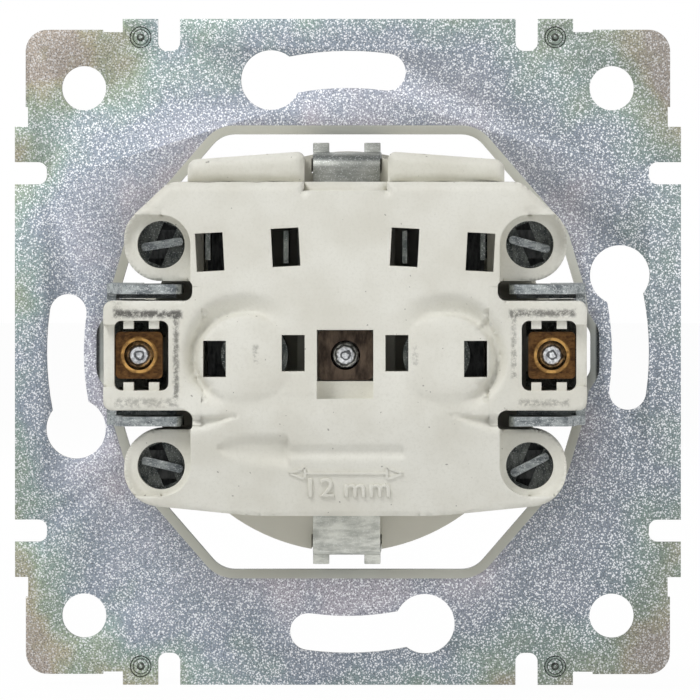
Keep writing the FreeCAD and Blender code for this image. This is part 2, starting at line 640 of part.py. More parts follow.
def add_pockets(body):
    """The pocket that each claw's nut slides in, with its four teeth and its lowered outer rim."""
    over = s.arm_reach + CLEAR
    pocket = box_corners(s.pocket_inner, -s.pocket_half, over, s.pocket_half)
    cut(body, REAR, pocket_level, rim_level, both_sides(pocket))
    pocket = box_corners(s.pocket_inner, -s.pocket_half, pocket_outer, s.pocket_half, s.pocket_round)
    cut(body, REAR, rim_level, s.arm_rear, both_sides(pocket))
    rim_half = s.pocket_half - s.rim_trim
    rim = box_corners(pocket_outer - s.rim_cut, -rim_half, over, rim_half)
    cut(body, REAR, s.arm_rear - s.rim_drop, s.arm_rear, both_sides(rim))
    holes = [(claw_x * a, 0, s.thread_radius + s.screw_gap) for a in (1, -1)]
    cut(body, REAR, floor_rear, pocket_level, circles=holes)
    teeth = []
    for x in (pocket_outer - s.tooth_inset, s.pocket_inner + s.tooth_inset + s.tooth_width):
        teeth.append(box_corners(x - s.tooth_width, s.pocket_half - s.tooth_height,
                                 x, s.pocket_half + s.tooth_root))
    outlines = [outline for tooth in teeth for outline in four_ways(tooth)]
    pad(body, REAR, s.arm_rear - s.rim_depth, s.arm_rear - s.tooth_drop, outlines)


# Earth bracket

def build_earth():
    """One bent strip with a spring clip at each end."""
    body = new_body("earth_bracket")
    half = s.earth_width / 2
    level = floor_rear + s.earth_sheet / 2
    leg = s.earth_reach - s.earth_sheet / 2
    front = -s.earth_front
    dip = leg - s.earth_dip
    drawing = Drawing(body, SIDE, 0)
    path = [(level, 0), (level, leg, s.earth_bend), (front, leg, s.earth_hook_bend),
            (front, leg - s.earth_hook, s.earth_hook_bend),
            (front + s.earth_dip_start, dip, s.earth_dip_bend),
            (front + s.earth_tail_start, leg - s.earth_tail)]
    drawing.path(path, closed=False)
    spine = drawing.finish()
    profile = draw(body, LEVEL, 0, [box_corners(-half, floor_rear, half, floor_rear + s.earth_sheet)])
    strip = body.newObject("PartDesign::AdditivePipe", "earth_bracket_strip")
    strip.Profile = profile
    strip.Spine = spine
    doc.recompute()
    hole = s.thread_radius + s.screw_gap
    tab_inner = half - s.earth_tab_width
    tab = box_corners(tab_inner, s.earth_reach - s.earth_sheet, half, s.earth_reach + s.earth_tab_rise)
    tabs = pad(body, REAR, floor_rear - s.earth_tab_start, floor_rear - s.earth_tab_end, both_sides(tab))
    mirror_feature(body, [strip, tabs], "XY_Plane")
    cut(body, REAR, floor_rear, floor_rear + s.earth_sheet, circles=[(0, 0, hole)])
    return body


# Screws and nuts

def build_screw(name, x, head_front, head_radius, head_height, tip):
    body = new_body(name)
    under_head = head_front + head_height
    pad(body, REAR, head_front, under_head, circles=[(x, 0, head_radius)])
    pad(body, REAR, under_head, tip, circles=[(x, 0, s.thread_radius)])
    half = s.driver_slot / 2
    slot = box_corners(x - head_radius - CLEAR, -half, x + head_radius + CLEAR, half)
    cut(body, REAR, head_front, head_front + s.driver_depth, [slot])
    round_edges(body, s.screw_chamfer, at_level(tip.number), "PartDesign::Chamfer")
    return body


def build_claw_nut(side, word):
    body = new_body("claw_nut_" + word)
    x = claw_x * side
    half = s.nut_side / 2
    top = nut_rear + s.collar_rise
    pad(body, REAR, nut_front, nut_rear, [box_corners(x - half, -half, x + half, half, s.nut_round)])
    pad(body, REAR, nut_rear, top, circles=[(x, 0, s.collar_radius)])
    cut(body, REAR, nut_front, top, circles=[(x, 0, s.thread_radius + s.thread_gap)])
    return body


def build_centre_nut():
    body = new_body("centre_nut_plate")
    half = s.centre_window_width / 2 - s.part_gap
    top = s.centre_window_top - s.part_gap
    rear = s.centre_nut_level + s.centre_nut_thickness
    pad(body, REAR, s.centre_nut_level, rear, [box_corners(-half, -top, half, top, s.centre_nut_round)])
    cut(body, REAR, s.centre_nut_level, rear, circles=[(0, 0, s.thread_radius + s.thread_gap)])
    return body


# Claws

def build_claw(side, word):
    """Folded sheet: an outer web with two toothed legs and an inward fork that the nut presses."""
    body = new_body("claw_" + word)

    def turned(corners):
        return both_sides(corners)[SIDE_ROW[side]]

    web_rear = s.claw_fold + s.claw_sheet
    web_half = s.pocket_half - s.claw_web_trim
    pad(body, REAR, s.claw_foot, web_rear, [turned(box_corners(web_inner, -web_half, web_outer, web_half))])
    neck = turned(box_corners(web_inner, -s.claw_neck_half, web_outer, s.claw_neck_half))
    pad(body, REAR, plate_front - s.claw_neck_reach, s.claw_foot, [neck])
    rear = s.claw_leg_rear
    flank_rear = rear - s.claw_web_top
    flank = turned(box_corners(web_inner, -leg_outer, web_outer, leg_outer))
    pad(body, REAR, s.claw_flank_start, flank_rear, [flank])
    foot = well_outer + s.claw_well_gap
    start = floor_rear + s.claw_leg_start
    bite = web_inner - s.claw_tooth
    first = rear - s.claw_tooth_start
    second = first + s.claw_tooth_pitch
    third = second + s.claw_tooth_pitch
    leg = [(web_outer, s.claw_leg_foot), (web_outer, flank_rear), (web_inner, first),
           (bite, first + s.claw_tooth_rise), (web_inner, second), (bite, second + s.claw_tooth_rise),
           (web_inner, third), (bite, rear), (s.claw_leg_inner, rear, s.claw_leg_round),
           (s.claw_leg_inner, start, s.claw_leg_round), (foot, start), (foot, s.claw_leg_foot)]
    pad(body, LEVEL, leg_inner, leg_outer, [turned(leg)])
    pad(body, LEVEL, -leg_outer, -leg_inner, [turned(leg)])
    step_inner = s.claw_leg_inner + s.claw_leg_round
    step = turned(box_corners(step_inner, s.arm_half + s.claw_step_gap, web_outer, leg_inner))
    below = [(c[0], -c[1]) for c in reversed(step)]
    pad(body, REAR, start, start + s.claw_step_height, [step, below])
    root = web_inner + s.claw_fork_root
    tip = web_inner - s.claw_fork_drop
    tip_rear = web_rear - s.claw_fork_drop
    tip_front = tip_rear - s.claw_fork_sheet
    fork = [(root, web_rear), (tip, tip_rear), (tip, tip_front), (root, web_rear - s.claw_fork_sheet)]
    pad(body, LEVEL, -s.claw_fork_half, s.claw_fork_half, [turned(fork)])
    gap = s.thread_radius + s.claw_slit_gap
    slit = turned(box_corners(tip - CLEAR, -gap, web_inner - s.claw_slit_end, gap))
    cut(body, REAR, tip_front - CLEAR, web_rear, [slit])
    return body


# Contacts and clamps

def build_pin_contact(side, word):
    """A slit sleeve for the plug's pin with a bus plate to the two wire clamps."""
    body = new_body("pin_contact_" + word)
    x = pin_x * side
    rear = chamber_rear - s.part_gap
    front = floor_rear + s.sleeve_start
    outer = s.pin_radius + s.sleeve_wall
    pad(body, REAR, front, rear, circles=[(x, 0, outer)])
    bus = s.bus_level
    bus_front = bus - s.bus_thickness
    arm = s.arm_inner - s.base_wall - s.bus_gap
    inner = arm - s.bus_width
    span = s.entry_z + s.bus_width / 2
    notch = span - s.bus_width
    reach = s.entry_x + s.bus_reach
    outline = [(inner, -span), (reach, -span, s.bus_round), (reach, -notch, s.bus_round), (arm, -notch),
               (arm, notch), (reach, notch, s.bus_round), (reach, span, s.bus_round), (inner, span)]
    pad(body, REAR, bus_front, bus, [both_sides(outline)[SIDE_ROW[side]]])
    link = box_corners(pin_x, -s.link_half, inner, s.link_half)
    pad(body, REAR, bus_front, bus, [both_sides(link)[SIDE_ROW[side]]])
    cut(body, REAR, front, rear, circles=[(x, 0, s.pin_radius)])
    half = s.sleeve_slit / 2
    edge = outer + CLEAR
    cut(body, REAR, bus + CLEAR, rear, [box_corners(x - half, -edge, x + half, edge)])
    return body


def build_pin_spring(side, word):
    body = new_body("pin_spring_" + word)
    x = pin_x * side
    inner = s.pin_radius + s.sleeve_wall
    pad(body, REAR, s.ring_level, s.ring_level + s.ring_height,
        circles=[(x, 0, inner + s.ring_wall), (x, 0, inner)])
    half = s.ring_mouth / 2
    cut(body, REAR, s.ring_level, s.ring_level + s.ring_height,
        [box_corners(x - half, 0, x + half, inner + s.ring_wall + CLEAR)])
    return body


def build_clamp(word, a, b):
    """A leaf with a window under the wire entry, turned up beside it."""
    body = new_body("clamp_spring_" + word)
    x, z = s.entry_x * a, s.entry_z * b
    low = s.bus_level
    top = low + s.clamp_sheet
    pad(body, REAR, low, top, circles=[(x, z, s.clamp_radius)])
    leaf = s.upper_outer_x + s.clamp_sheet
    strip = box_corners(leaf, z - s.clamp_strip_half, s.entry_x, z + s.clamp_strip_half)
    pad(body, REAR, low, top, [both_sides(strip)[SIDE_ROW[a]]])
    turn = s.clamp_lean * (a * b)
    cut(body, REAR, low, top, [turned_box(x, z, s.clamp_window, s.clamp_window_length, turn)])
    stand = box_corners(leaf - s.clamp_sheet, z - s.clamp_stand_half, leaf, z + s.clamp_stand_half)
    rise = s.upper_leaf_rise if b > 0 else s.lower_leaf_rise
    pad(body, REAR, low, low + rise, [both_sides(stand)[SIDE_ROW[a]]])
    return body


def build_bar(word, a, b, lean):
    """The rounded edge that the wire is pressed against."""
    body = new_body("clamp_bar_" + word)
    x, z = s.entry_x * a, s.entry_z * b
    bar = turned_box(x, z, s.bar_length, s.bar_width, lean)
    low = s.bus_level + s.clamp_sheet
    pad(body, REAR, low, low + s.bar_rise, [[corner + (s.bar_round,) for corner in bar]])
    return body


def build_earth_spring(side, word):
    body = new_body("earth_spring_" + word)
    x = s.upper_inner_x * side
    low = floor_rear + s.part_gap
    half = s.clamp_sheet / 2
    foot = s.upper_inner_z - s.earth_spring_half
    head = s.upper_inner_z + s.earth_spring_half
    pad(body, REAR, low, chamber_rear - s.earth_spring_drop, [box_corners(x - half, foot, x + half, head)])
    return body


SIDES = ((1, "left"), (-1, "right"))
CLAMPS = (("upper_left", 1, 1, s.lean_upper_left), ("upper_right", -1, 1, s.lean_upper_right),
          ("lower_left", 1, -1, s.lean_lower_left), ("lower_right", -1, -1, s.lean_lower_right))
bodies = [build_frame(), build_well(), build_base(), build_earth(), build_centre_nut()]
bodies.append(build_screw("centre_screw", as_size(0), floor_front - s.centre_head_height,
                          s.centre_head_radius, s.centre_head_height,
                          s.centre_nut_level + s.centre_nut_thickness + s.screw_tip))
for side, word in SIDES:
    bodies.append(build_screw("claw_screw_" + word, claw_x * side, floor_rear - s.claw_head_height,
                              s.claw_head_radius, s.claw_head_height, nut_rear + s.screw_tip))
    bodies.append(build_claw_nut(side, word))
    bodies.append(build_claw(side, word))
    bodies.append(build_pin_contact(side, word))
    bodies.append(build_pin_spring(side, word))
    bodies.append(build_earth_spring(side, word))
for word, a, b, lean in CLAMPS:
    bodies.append(build_clamp(word, a, b))
    bodies.append(build_bar(word, a, b, lean))

for body in bodies:
    body.Tip.Refine = True
doc.recompute()
for item in doc.Objects:
    if "Invalid" in item.State or "Error" in item.State:
        raise RuntimeError("%s failed: %s" % (item.Name, item.State))
os.makedirs("parts", exist_ok=True)
for body in bodies:
    shape = body.Shape
    if shape.isNull() or not shape.isValid():
        raise RuntimeError("%s has no valid shape" % body.Label)
    print(body.Label, len(shape.Solids), "solids,", round(shape.Volume, 1), "mm3")
    shape.exportStep("parts/%s.step" % body.Label)
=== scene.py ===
# %% [markdown]
# # A wall socket insert, seen from behind
# The construction model of the socket is finished: every piece is there, at its real size. This
# lesson gives it its looks. It dresses each piece in a finish, rounds the moulded edges, cuts real
# threads, raises the strip gauge's mark, and lights it all like a catalogue photo.

# %% Load the construction model
import json
import math

import bmesh
import bpy
from mathutils import Matrix, Vector
from mathutils.kdtree import KDTree

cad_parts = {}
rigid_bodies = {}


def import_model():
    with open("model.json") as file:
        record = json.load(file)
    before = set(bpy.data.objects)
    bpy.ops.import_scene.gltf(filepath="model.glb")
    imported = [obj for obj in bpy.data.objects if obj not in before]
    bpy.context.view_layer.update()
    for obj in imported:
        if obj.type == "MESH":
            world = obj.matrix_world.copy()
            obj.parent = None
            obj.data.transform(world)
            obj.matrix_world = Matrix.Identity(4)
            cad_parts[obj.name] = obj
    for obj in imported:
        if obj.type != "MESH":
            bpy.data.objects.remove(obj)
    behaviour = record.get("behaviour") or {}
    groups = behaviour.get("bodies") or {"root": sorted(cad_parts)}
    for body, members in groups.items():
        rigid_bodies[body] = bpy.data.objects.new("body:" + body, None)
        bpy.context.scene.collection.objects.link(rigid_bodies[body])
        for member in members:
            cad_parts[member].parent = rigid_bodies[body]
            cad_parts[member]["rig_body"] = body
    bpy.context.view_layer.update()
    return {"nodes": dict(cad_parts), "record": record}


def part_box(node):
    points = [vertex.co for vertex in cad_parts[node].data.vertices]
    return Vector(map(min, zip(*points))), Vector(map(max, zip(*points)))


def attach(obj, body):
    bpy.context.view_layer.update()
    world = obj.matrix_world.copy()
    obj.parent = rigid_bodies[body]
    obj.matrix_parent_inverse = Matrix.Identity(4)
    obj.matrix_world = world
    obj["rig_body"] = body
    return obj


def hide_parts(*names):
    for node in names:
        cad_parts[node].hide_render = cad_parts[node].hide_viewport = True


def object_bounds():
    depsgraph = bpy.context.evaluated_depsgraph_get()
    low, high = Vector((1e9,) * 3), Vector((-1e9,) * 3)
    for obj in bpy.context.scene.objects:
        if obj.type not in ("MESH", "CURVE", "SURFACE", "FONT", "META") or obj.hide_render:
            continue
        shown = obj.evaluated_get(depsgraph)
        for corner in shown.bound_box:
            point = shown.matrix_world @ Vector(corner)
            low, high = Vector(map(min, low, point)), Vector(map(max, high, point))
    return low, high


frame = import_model()
nodes = frame["nodes"]
MM = 0.001

# %% [markdown]
# ## Where things are
# Every place comes from the model's own pieces, so a finish or a thread follows when a piece moves.
# The rear of the socket, which the picture shows, looks along +Y. X runs to the left of the picture
# and Z runs up. Two helpers that every step uses stand here too: one puts an object into the scene,
# one turns an editable shape into a mesh.

# %% Measure the pieces


def middle(node):
    low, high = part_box(node)
    return (low + high) / 2


def placed(name, data):
    """A new object in the scene, at its origin."""
    piece = bpy.data.objects.new(name, data)
    bpy.context.scene.collection.objects.link(piece)
    return piece


def mesh_of(shape, name):
    """The mesh of an editable shape, which is let go."""
    mesh = bpy.data.meshes.new(name)
    shape.to_mesh(mesh)
    shape.free()
    return mesh


nut_place = middle("claw_nut_left")
base_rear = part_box("rear_base")[1].y
print("nut at", [round(v / MM, 2) for v in nut_place], "mm")

# %% [markdown]
# ## Writing a finish as plain maths
# A finish is a tree of nodes. Wiring each one by hand hides the idea, so a small class holds a socket
# and lets it be used in ordinary sums, and a recipe class makes every other node through one method.

# %% Sums on sockets


class Flow:
    """A socket of a finish, or a number that comes out of one, for use in plain sums."""

    def __init__(self, recipe, socket):
        self.recipe = recipe
        self.socket = socket

    def maths(self, operation, *values):
        return self.recipe.maths_of(operation, *values)

    def __add__(self, other):
        return self.maths("ADD", self, other)

    def __radd__(self, other):
        return self.maths("ADD", other, self)

    def __sub__(self, other):
        return self.maths("SUBTRACT", self, other)

    def __rsub__(self, other):
        return self.maths("SUBTRACT", other, self)

    def __mul__(self, other):
        return self.maths("MULTIPLY", self, other)

    def __rmul__(self, other):
        return self.maths("MULTIPLY", other, self)

    def __truediv__(self, other):
        return self.maths("DIVIDE", self, other)

    def __pow__(self, other):
        return self.maths("POWER", self, other)

    def __abs__(self):
        return self.maths("ABSOLUTE", self)

    def least(self, other):
        return self.maths("MINIMUM", self, other)

    def most(self, other):
        return self.maths("MAXIMUM", self, other)

    def fade(self, low, high):
        """0 up to low, 1 from high on, smooth between. With low above high it falls instead."""
        inputs = {"Value": self, "From Min": low, "From Max": high}
        return self.recipe.node("MapRange", {"interpolation_type": "SMOOTHSTEP"}, inputs)


# %% [markdown]
# ## Recipes
# A recipe is one tree of nodes, be it a material's or the world's. A finish is a recipe that also has
# the place on the piece at hand, in metres as the pieces have it, and the building blocks that all
# the finishes share: clouds, grains, streaks and rectangles. Painted textures could give the same
# looks, but they would need unwrapped pieces, and rules of the place go on to any piece.

# %% The recipe of a tree, and of a finish


def shade_of(red, green, blue):
    """A screen's colour, 0 to 255 a part, as the light values that the renderer uses."""
    parts = [value / 255 for value in (red, green, blue)]
    return tuple(v / 12.92 if v <= 0.04045 else ((v + 0.055) / 1.055) ** 2.4 for v in parts) + (1.0,)


class Recipe:
    """A tree of nodes under construction, of a material or of the world."""

    def __init__(self, owner):
        owner.use_nodes = True
        self.owner = owner
        self.tree = owner.node_tree
        self.tree.nodes.clear()

    def maths_of(self, operation, *values):
        return self.node("Math", {"operation": operation}, dict(enumerate(values)))

    def node(self, kind, settings, inputs, output=0):
        made = self.tree.nodes.new("ShaderNode" + kind)
        for name, value in settings.items():
            if name == "stops":
                self.set_stops(made.color_ramp.elements, value)
            else:
                setattr(made, name, value)
        for name, value in inputs.items():
            if isinstance(value, Flow):
                self.tree.links.new(value.socket, made.inputs[name])
            else:
                made.inputs[name].default_value = value
        return made if output is None else Flow(self, made.outputs[output])

    def set_stops(self, elements, stops):
        for place, colour in stops[2:]:
            elements.new(place)
        for element, (place, colour) in zip(elements, stops):
            element.position = place
            element.color = colour

    def seen_directly(self):
        """1 for light that is seen straight, by gloss or through a clear thing, and 0 for the rest."""
        path = self.node("LightPath", {}, {}, None)
        straight, gloss, through = (Flow(self, path.outputs[name])
                                    for name in ("Is Camera Ray", "Is Glossy Ray", "Is Transmission Ray"))
        return straight.most(gloss).most(through)


class Finish(Recipe):
    """A material under construction, with the place on the piece at hand."""

    def __init__(self, name):
        super().__init__(bpy.data.materials.new(name))
        self.spot = self.node("TexCoord", {}, {}, "Object")
        apart = self.node("SeparateXYZ", {}, {0: self.spot}, None)
        self.x, self.y, self.z = (Flow(self, apart.outputs[i]) for i in range(3))
        way = self.node("SeparateXYZ", {}, {0: self.node("TexCoord", {}, {}, "Normal")}, None)
        self.facing = abs(Flow(self, way.outputs[1]))

    def noise(self, size, detail=3.0, rough=0.55, spot=None):
        """Cloudy values about 0.5, with clouds of about that size in millimetres."""
        inputs = {"Vector": spot or self.spot, "Scale": 1 / (size * MM), "Detail": detail,
                  "Roughness": rough}
        return self.node("TexNoise", {}, inputs)

    def grains(self, size, share):
        """Small round spots, one in some of the cells of about that size."""
        cell = self.node("TexVoronoi", {}, {"Vector": self.spot, "Scale": 1 / (size * MM)}, None)
        chosen = Flow(self, cell.outputs["Color"]).fade(1 - share, 1.1 - share)
        return Flow(self, cell.outputs["Distance"]).fade(0.55, 0.25) * chosen

    def stretched(self, x, y, z):
        """The place on the piece, drawn out along an axis whose factor is small."""
        return self.node("Mapping", {}, {"Vector": self.spot, "Scale": (x, y, z)})

    def blend(self, share, low, high):
        """A colour between two."""
        return self.node("Mix", {"data_type": "RGBA"}, {0: share, 6: low, 7: high}, 2)

    def near_box(self, centre, half, soft):
        """1 inside a rectangle seen from behind, fading to 0 outside it. All in millimetres."""
        across = abs(self.x / MM - centre[0]) - half[0]
        upward = abs(self.z / MM - centre[1]) - half[1]
        return across.most(upward).fade(soft, 0.0)

    def surface(self, colour, rough, metal, bumps):
        """The surface itself, with each bump a height flow and its depth in millimetres."""
        inputs = {"Base Color": colour, "Roughness": rough, "Metallic": metal}
        for height, depth in bumps:
            bump = {"Height": height, "Distance": depth * MM, "Strength": 1.0}
            if "Normal" in inputs:
                bump["Normal"] = inputs["Normal"]
            inputs["Normal"] = self.node("Bump", {}, bump)
        self.node("OutputMaterial", {}, {"Surface": self.node("BsdfPrincipled", {}, inputs)}, None)
        return self.owner


# %% [markdown]
# ## Zinc on the support frame
# Bright zinc is dipped in a clear passivating bath, which leaves a film so thin that it splits light.
# It is thinnest near the window and thickest at the corners, so the sheet drifts from pink over
# blue-grey and green to straw. Close up it glitters, because the zinc grew as tiny crystals; the
# glitter is painted on as near-white glints. The drift is a ramp over the distance from the middle,
# disturbed by slow noise, and round grains in a share of small cells make the crystals' painted
# glints. The sheet is also painted darker toward -X, a painted shade for the light that comes from
# +X. Where the punch cut through, the edge is bare and darker, and that dark tone also runs over the
# slanted faces of every edge as painted shade. The drawn bend round the window carries a painted
# highlight: a near-white band with less metal.

# %% Zinc with its passivation colours
FILM = [(0.0, shade_of(192, 188, 198)), (0.18, shade_of(168, 173, 186)), (0.42, shade_of(150, 160, 172)),
        (0.60, shade_of(148, 166, 162)), (0.78, shade_of(152, 164, 146)), (0.92, shade_of(170, 164, 142)),
        (1.0, shade_of(168, 158, 148))]
FILM_START = 24
FILM_LENGTH = 22
WINDOW_HALF = (26.2, 24.2)


def zinc_sheet():
    recipe = Finish("zinc_sheet")
    reach = (recipe.x * recipe.x + recipe.z * recipe.z) ** 0.5 / MM
    clouds = (recipe.noise(11.0, detail=2.0) - 0.5) * 1.1 + (recipe.noise(3.0) - 0.5) * 0.3
    drift = (reach - FILM_START) / FILM_LENGTH + clouds
    tint = recipe.node("ValToRGB", {"stops": FILM}, {0: drift})
    # Painted shade: the sheet is painted darker toward -X, for the light that comes from +X.
    painted_shade_side = (0 - recipe.x / MM).fade(-26, 32)
    tint = recipe.blend(painted_shade_side * 0.26, tint, shade_of(96, 102, 104))
    speck = recipe.noise(0.16, detail=1.0)
    dark = speck.fade(0.5, 0.36)
    # Bright grains: painted glints, the glitter of the zinc crystals, fewer toward the corners.
    bright = (recipe.grains(0.16, 0.5) + recipe.grains(0.24, 0.4)).least(1.0)
    colour = recipe.blend(dark * 0.62, tint, shade_of(84, 88, 92))
    colour = recipe.blend(bright * (1 - drift.fade(0.5, 1.0) * 0.5) * 0.8, colour, shade_of(250, 251, 254))
    window = recipe.near_box((0, 0), WINDOW_HALF, 0.3)
    # Painted highlight: the slanted faces of the drawn bend round the window are painted near white.
    bend = recipe.facing.fade(0.97, 0.85) * recipe.facing.fade(0.45, 0.62) * window
    # Bare cut edges are darker steel; the same dark tone on slanted bevel faces is painted shade along the
    # edges.
    bare_edge_and_painted_shade = recipe.facing.fade(0.985, 0.85)
    colour = recipe.blend(bare_edge_and_painted_shade * 0.8, colour, shade_of(66, 66, 62))
    colour = recipe.blend(bend * 0.95, colour, shade_of(240, 241, 234))
    rough = 0.42 + (1 - bright) * 0.12
    # Less metal on the bend keeps its painted highlight bright.
    return recipe.surface(colour, rough, 0.85 - bend * 0.65, [(speck, 0.02)])


# %% [markdown]
# ## Moulded ivory plastic
# The base is a warm off-white moulding with a fine grain and a cloudy tone. Handling left black
# rub marks where the claws and the screwdriver rub, and tiny dark specks. The black marks are also
# painted shade: the strips along the claws' arms are darker than rub alone, for the shade on their
# slopes. The clouds and specks are noise. The black marks are narrow rectangles, placed from the
# nuts, that a rough noise breaks up. The plug well in front is smoother and duller.

# %% Ivory plastic


def rub_marks_and_painted_shade(recipe):
    """Where the black marks lie, partly rub marks and partly painted shade: strips round each nut's pocket,
    and one at a screwdriver's slip.
    """
    nut_x = nut_place.x / MM
    left = [((nut_x - 1.0, 4.35), (3.3, 0.14), 0.55, 1.0), ((nut_x - 3.95, -0.2), (0.10, 4.0), 0.4, 0.8),
            ((nut_x - 0.8, -4.9), (3.0, 0.15), 0.6, 0.5), ((nut_x + 2.2, 5.2), (0.2, 0.25), 0.5, 0.35),
            ((9.3, 0.2), (0.1, 0.7), 0.4, 0.5)]
    right = [((-nut_x + 1.0, 4.45), (3.2, 0.14), 0.5, 0.85), ((-nut_x + 3.95, 0.9), (0.08, 3.0), 0.4, 0.55),
             ((-nut_x + 0.8, -4.9), (2.4, 0.12), 0.5, 0.5), ((-7.3, 0.0), (0.1, 0.8), 0.45, 0.3)]
    found = 0.0
    for centre, half, soft, strength in left + right:
        found = recipe.near_box(centre, half, soft) * strength + found
    rear = (recipe.y / MM).fade(base_rear / MM - 2.5, base_rear / MM - 1.5)
    rub = recipe.noise(0.6, detail=5.0, rough=0.85)
    return (found.least(1.0) * rear) * (rub + found * 0.12).fade(0.44, 0.66)


def ivory():
    recipe = Finish("ivory_plastic")
    cloud = recipe.noise(7.0, detail=4.0)
    grain = recipe.noise(0.3, detail=3.0, rough=0.7)
    colour = recipe.blend(cloud.fade(0.3, 0.7), shade_of(212, 210, 199), shade_of(224, 223, 214))
    colour = recipe.blend(grain.fade(0.45, 0.7) * 0.25, colour, shade_of(198, 196, 184))
    speck = recipe.noise(0.5, detail=1.0).fade(0.75, 0.79)
    colour = recipe.blend(speck * 0.6, colour, shade_of(96, 92, 84))
    # Black marks: real rub marks, with painted shade along the claws' arms.
    colour = recipe.blend(rub_marks_and_painted_shade(recipe) * 0.88, colour, shade_of(44, 42, 40))
    rough = 0.5 + cloud * 0.12
    return recipe.surface(colour, rough, 0.0, [(grain, 0.010), (cloud, 0.12)])


def front_plastic():
    recipe = Finish("well_plastic")
    cloud = recipe.noise(7.0)
    colour = recipe.blend(cloud, shade_of(190, 187, 174), shade_of(208, 206, 194))
    return recipe.surface(colour, 0.3 + cloud * 0.1, 0.0, [(recipe.noise(0.6), 0.006)])


# %% [markdown]
# ## Metals inside
# Each metal keeps its own tone: tarnished brass on the nuts with a worn, golden collar, almost brown
# brass under the centre window, tinned contacts, and grey steel on the clips, claws and clamps. The
# tinned contacts are dark, partly their metal and partly painted shade of the deep wells. They
# share one recipe with other numbers: a dark and a light tone mixed by streaks, with small bright
# sparks painted on as glints.

# %% A metal that varies


def metal(name, dark, light, rough, streak=(1.0, 1.0, 1.0), size=0.8, depth=0.02, sparks=0.0, worn=None):
    recipe = Finish(name)
    lines = recipe.noise(size, detail=4.0, rough=0.65, spot=recipe.stretched(*streak))
    cloud = recipe.noise(size * 4)
    colour = recipe.blend((lines * 0.6 + cloud * 0.4).fade(0.35, 0.65), dark, light)
    if worn:
        share, tone = worn(recipe)
        colour = recipe.blend(share, colour, tone)
    if sparks:
        # Sparks: small near-white spots painted on as glints.
        spark = recipe.noise(0.14, detail=1.0).fade(0.58, 0.68)
        colour = recipe.blend(spark * sparks, colour, shade_of(238, 240, 240))
    return recipe.surface(colour, rough + cloud * 0.2, 0.9, [(lines, depth)])


def golden_collar(recipe):
    """The nut's collar, rubbed back to gold, found by how far a point is from either nut's axis."""
    across = abs(recipe.x / MM) - nut_place.x / MM
    reach = (across * across + (recipe.z / MM) ** 2) ** 0.5
    rubbed = recipe.noise(0.9, detail=3.0).fade(0.35, 0.6)
    return reach.fade(2.0, 1.8) * (0.25 + rubbed * 0.65), shade_of(206, 162, 96)


def darker_top_clip(recipe):
    """The upper clip of the earth bracket is duller than the lower one, with a dark line along it."""
    line = abs(recipe.z / MM - 20.6).fade(0.5, 0.1)
    return (recipe.z / MM).fade(14, 18) * (0.6 + line * 0.3), shade_of(70, 74, 74)


def turned_rings(recipe):
    """Rings that the lathe left round the end of a screw."""
    across = abs(abs(recipe.x / MM) - nut_place.x / MM).least(abs(recipe.x / MM))
    reach = (across * across + (recipe.z / MM) ** 2) ** 0.5
    patch = recipe.noise(0.55, detail=2.0)
    ring = recipe.maths_of("SINE", reach * 11 + patch * 6)
    return ring.fade(0.0, 0.7) * 0.85, shade_of(38, 40, 44)


FINISHES = {
    "frame_steel": zinc_sheet(),
    "ivory_plastic": ivory(),
    "well_plastic": front_plastic(),
    "tinned_steel": metal("tinned_steel", shade_of(166, 168, 161), shade_of(218, 219, 211), rough=0.36,
                          streak=(0.25, 1, 1), size=0.5, sparks=0.25, worn=darker_top_clip),
    "dark_brass": metal("dark_brass", shade_of(46, 38, 33), shade_of(104, 90, 78), rough=0.4,
                        streak=(1, 1, 0.3), size=0.6),
    "screw_steel": metal("screw_steel", shade_of(150, 152, 156), shade_of(246, 248, 250), rough=0.22,
                         size=0.4, depth=0.05, worn=turned_rings),
    "nut_brass": metal("nut_brass", shade_of(72, 50, 32), shade_of(126, 92, 56), rough=0.4,
                       streak=(0.5, 1, 1), size=0.22, depth=0.04, worn=golden_collar),
    "claw_steel": metal("claw_steel", shade_of(96, 102, 106), shade_of(176, 182, 182), rough=0.32,
                        streak=(0.3, 1, 1), size=0.35, depth=0.05, sparks=0.5),
    # Tinned contacts: the dark tones are partly the metal and partly painted shade of the deep wells; the
    # dark discs under the clamps wear it too.
    "contact_tinned": metal("contact_tinned", shade_of(40, 42, 44), shade_of(100, 102, 102), rough=0.4,
                            streak=(1, 1, 0.3), size=0.5),
    "spring_steel": metal("spring_steel", shade_of(66, 72, 72), shade_of(132, 136, 132), rough=0.38,
                          streak=(1, 1, 0.4), size=0.5, depth=0.03, sparks=0.35),
}
print("finishes:", ", ".join(sorted(FINISHES)))

# %% [markdown]
# ## Which piece has which finish
# The model's own record already says which pieces share a material, so the finishes are handed out
# from it. A list written here could do it too, but it would have to follow every new piece by hand.

# %% Hand out the finishes


def dress(piece, name):
    piece.data.materials.clear()
    piece.data.materials.append(FINISHES[name])


SLOT_OF = {}
for entry in frame["record"]["subparts"]:
    SLOT_OF[entry["node"]] = entry["material_slot"]
for name, piece in nodes.items():
    dress(piece, SLOT_OF[name])
print({slot: list(SLOT_OF.values()).count(slot) for slot in sorted(set(SLOT_OF.values()))})

# %% [markdown]
# ## Soft edges on mouldings and stampings
# No moulded edge is razor sharp, and the thin bright line along each one is what makes plastic look
# like plastic. The model's pieces have crisp corners, so a copy of each is merged into one skin and
# gets a narrow bevel. It could be rounded with subdivision surfaces too, but a bevel keeps every flat
# where the model has it.

# %% Copy a piece and round its edges
BEVEL_ANGLE = math.radians(32)
SMOOTH_ANGLE = math.radians(34)
MERGE = 0.0005 * MM


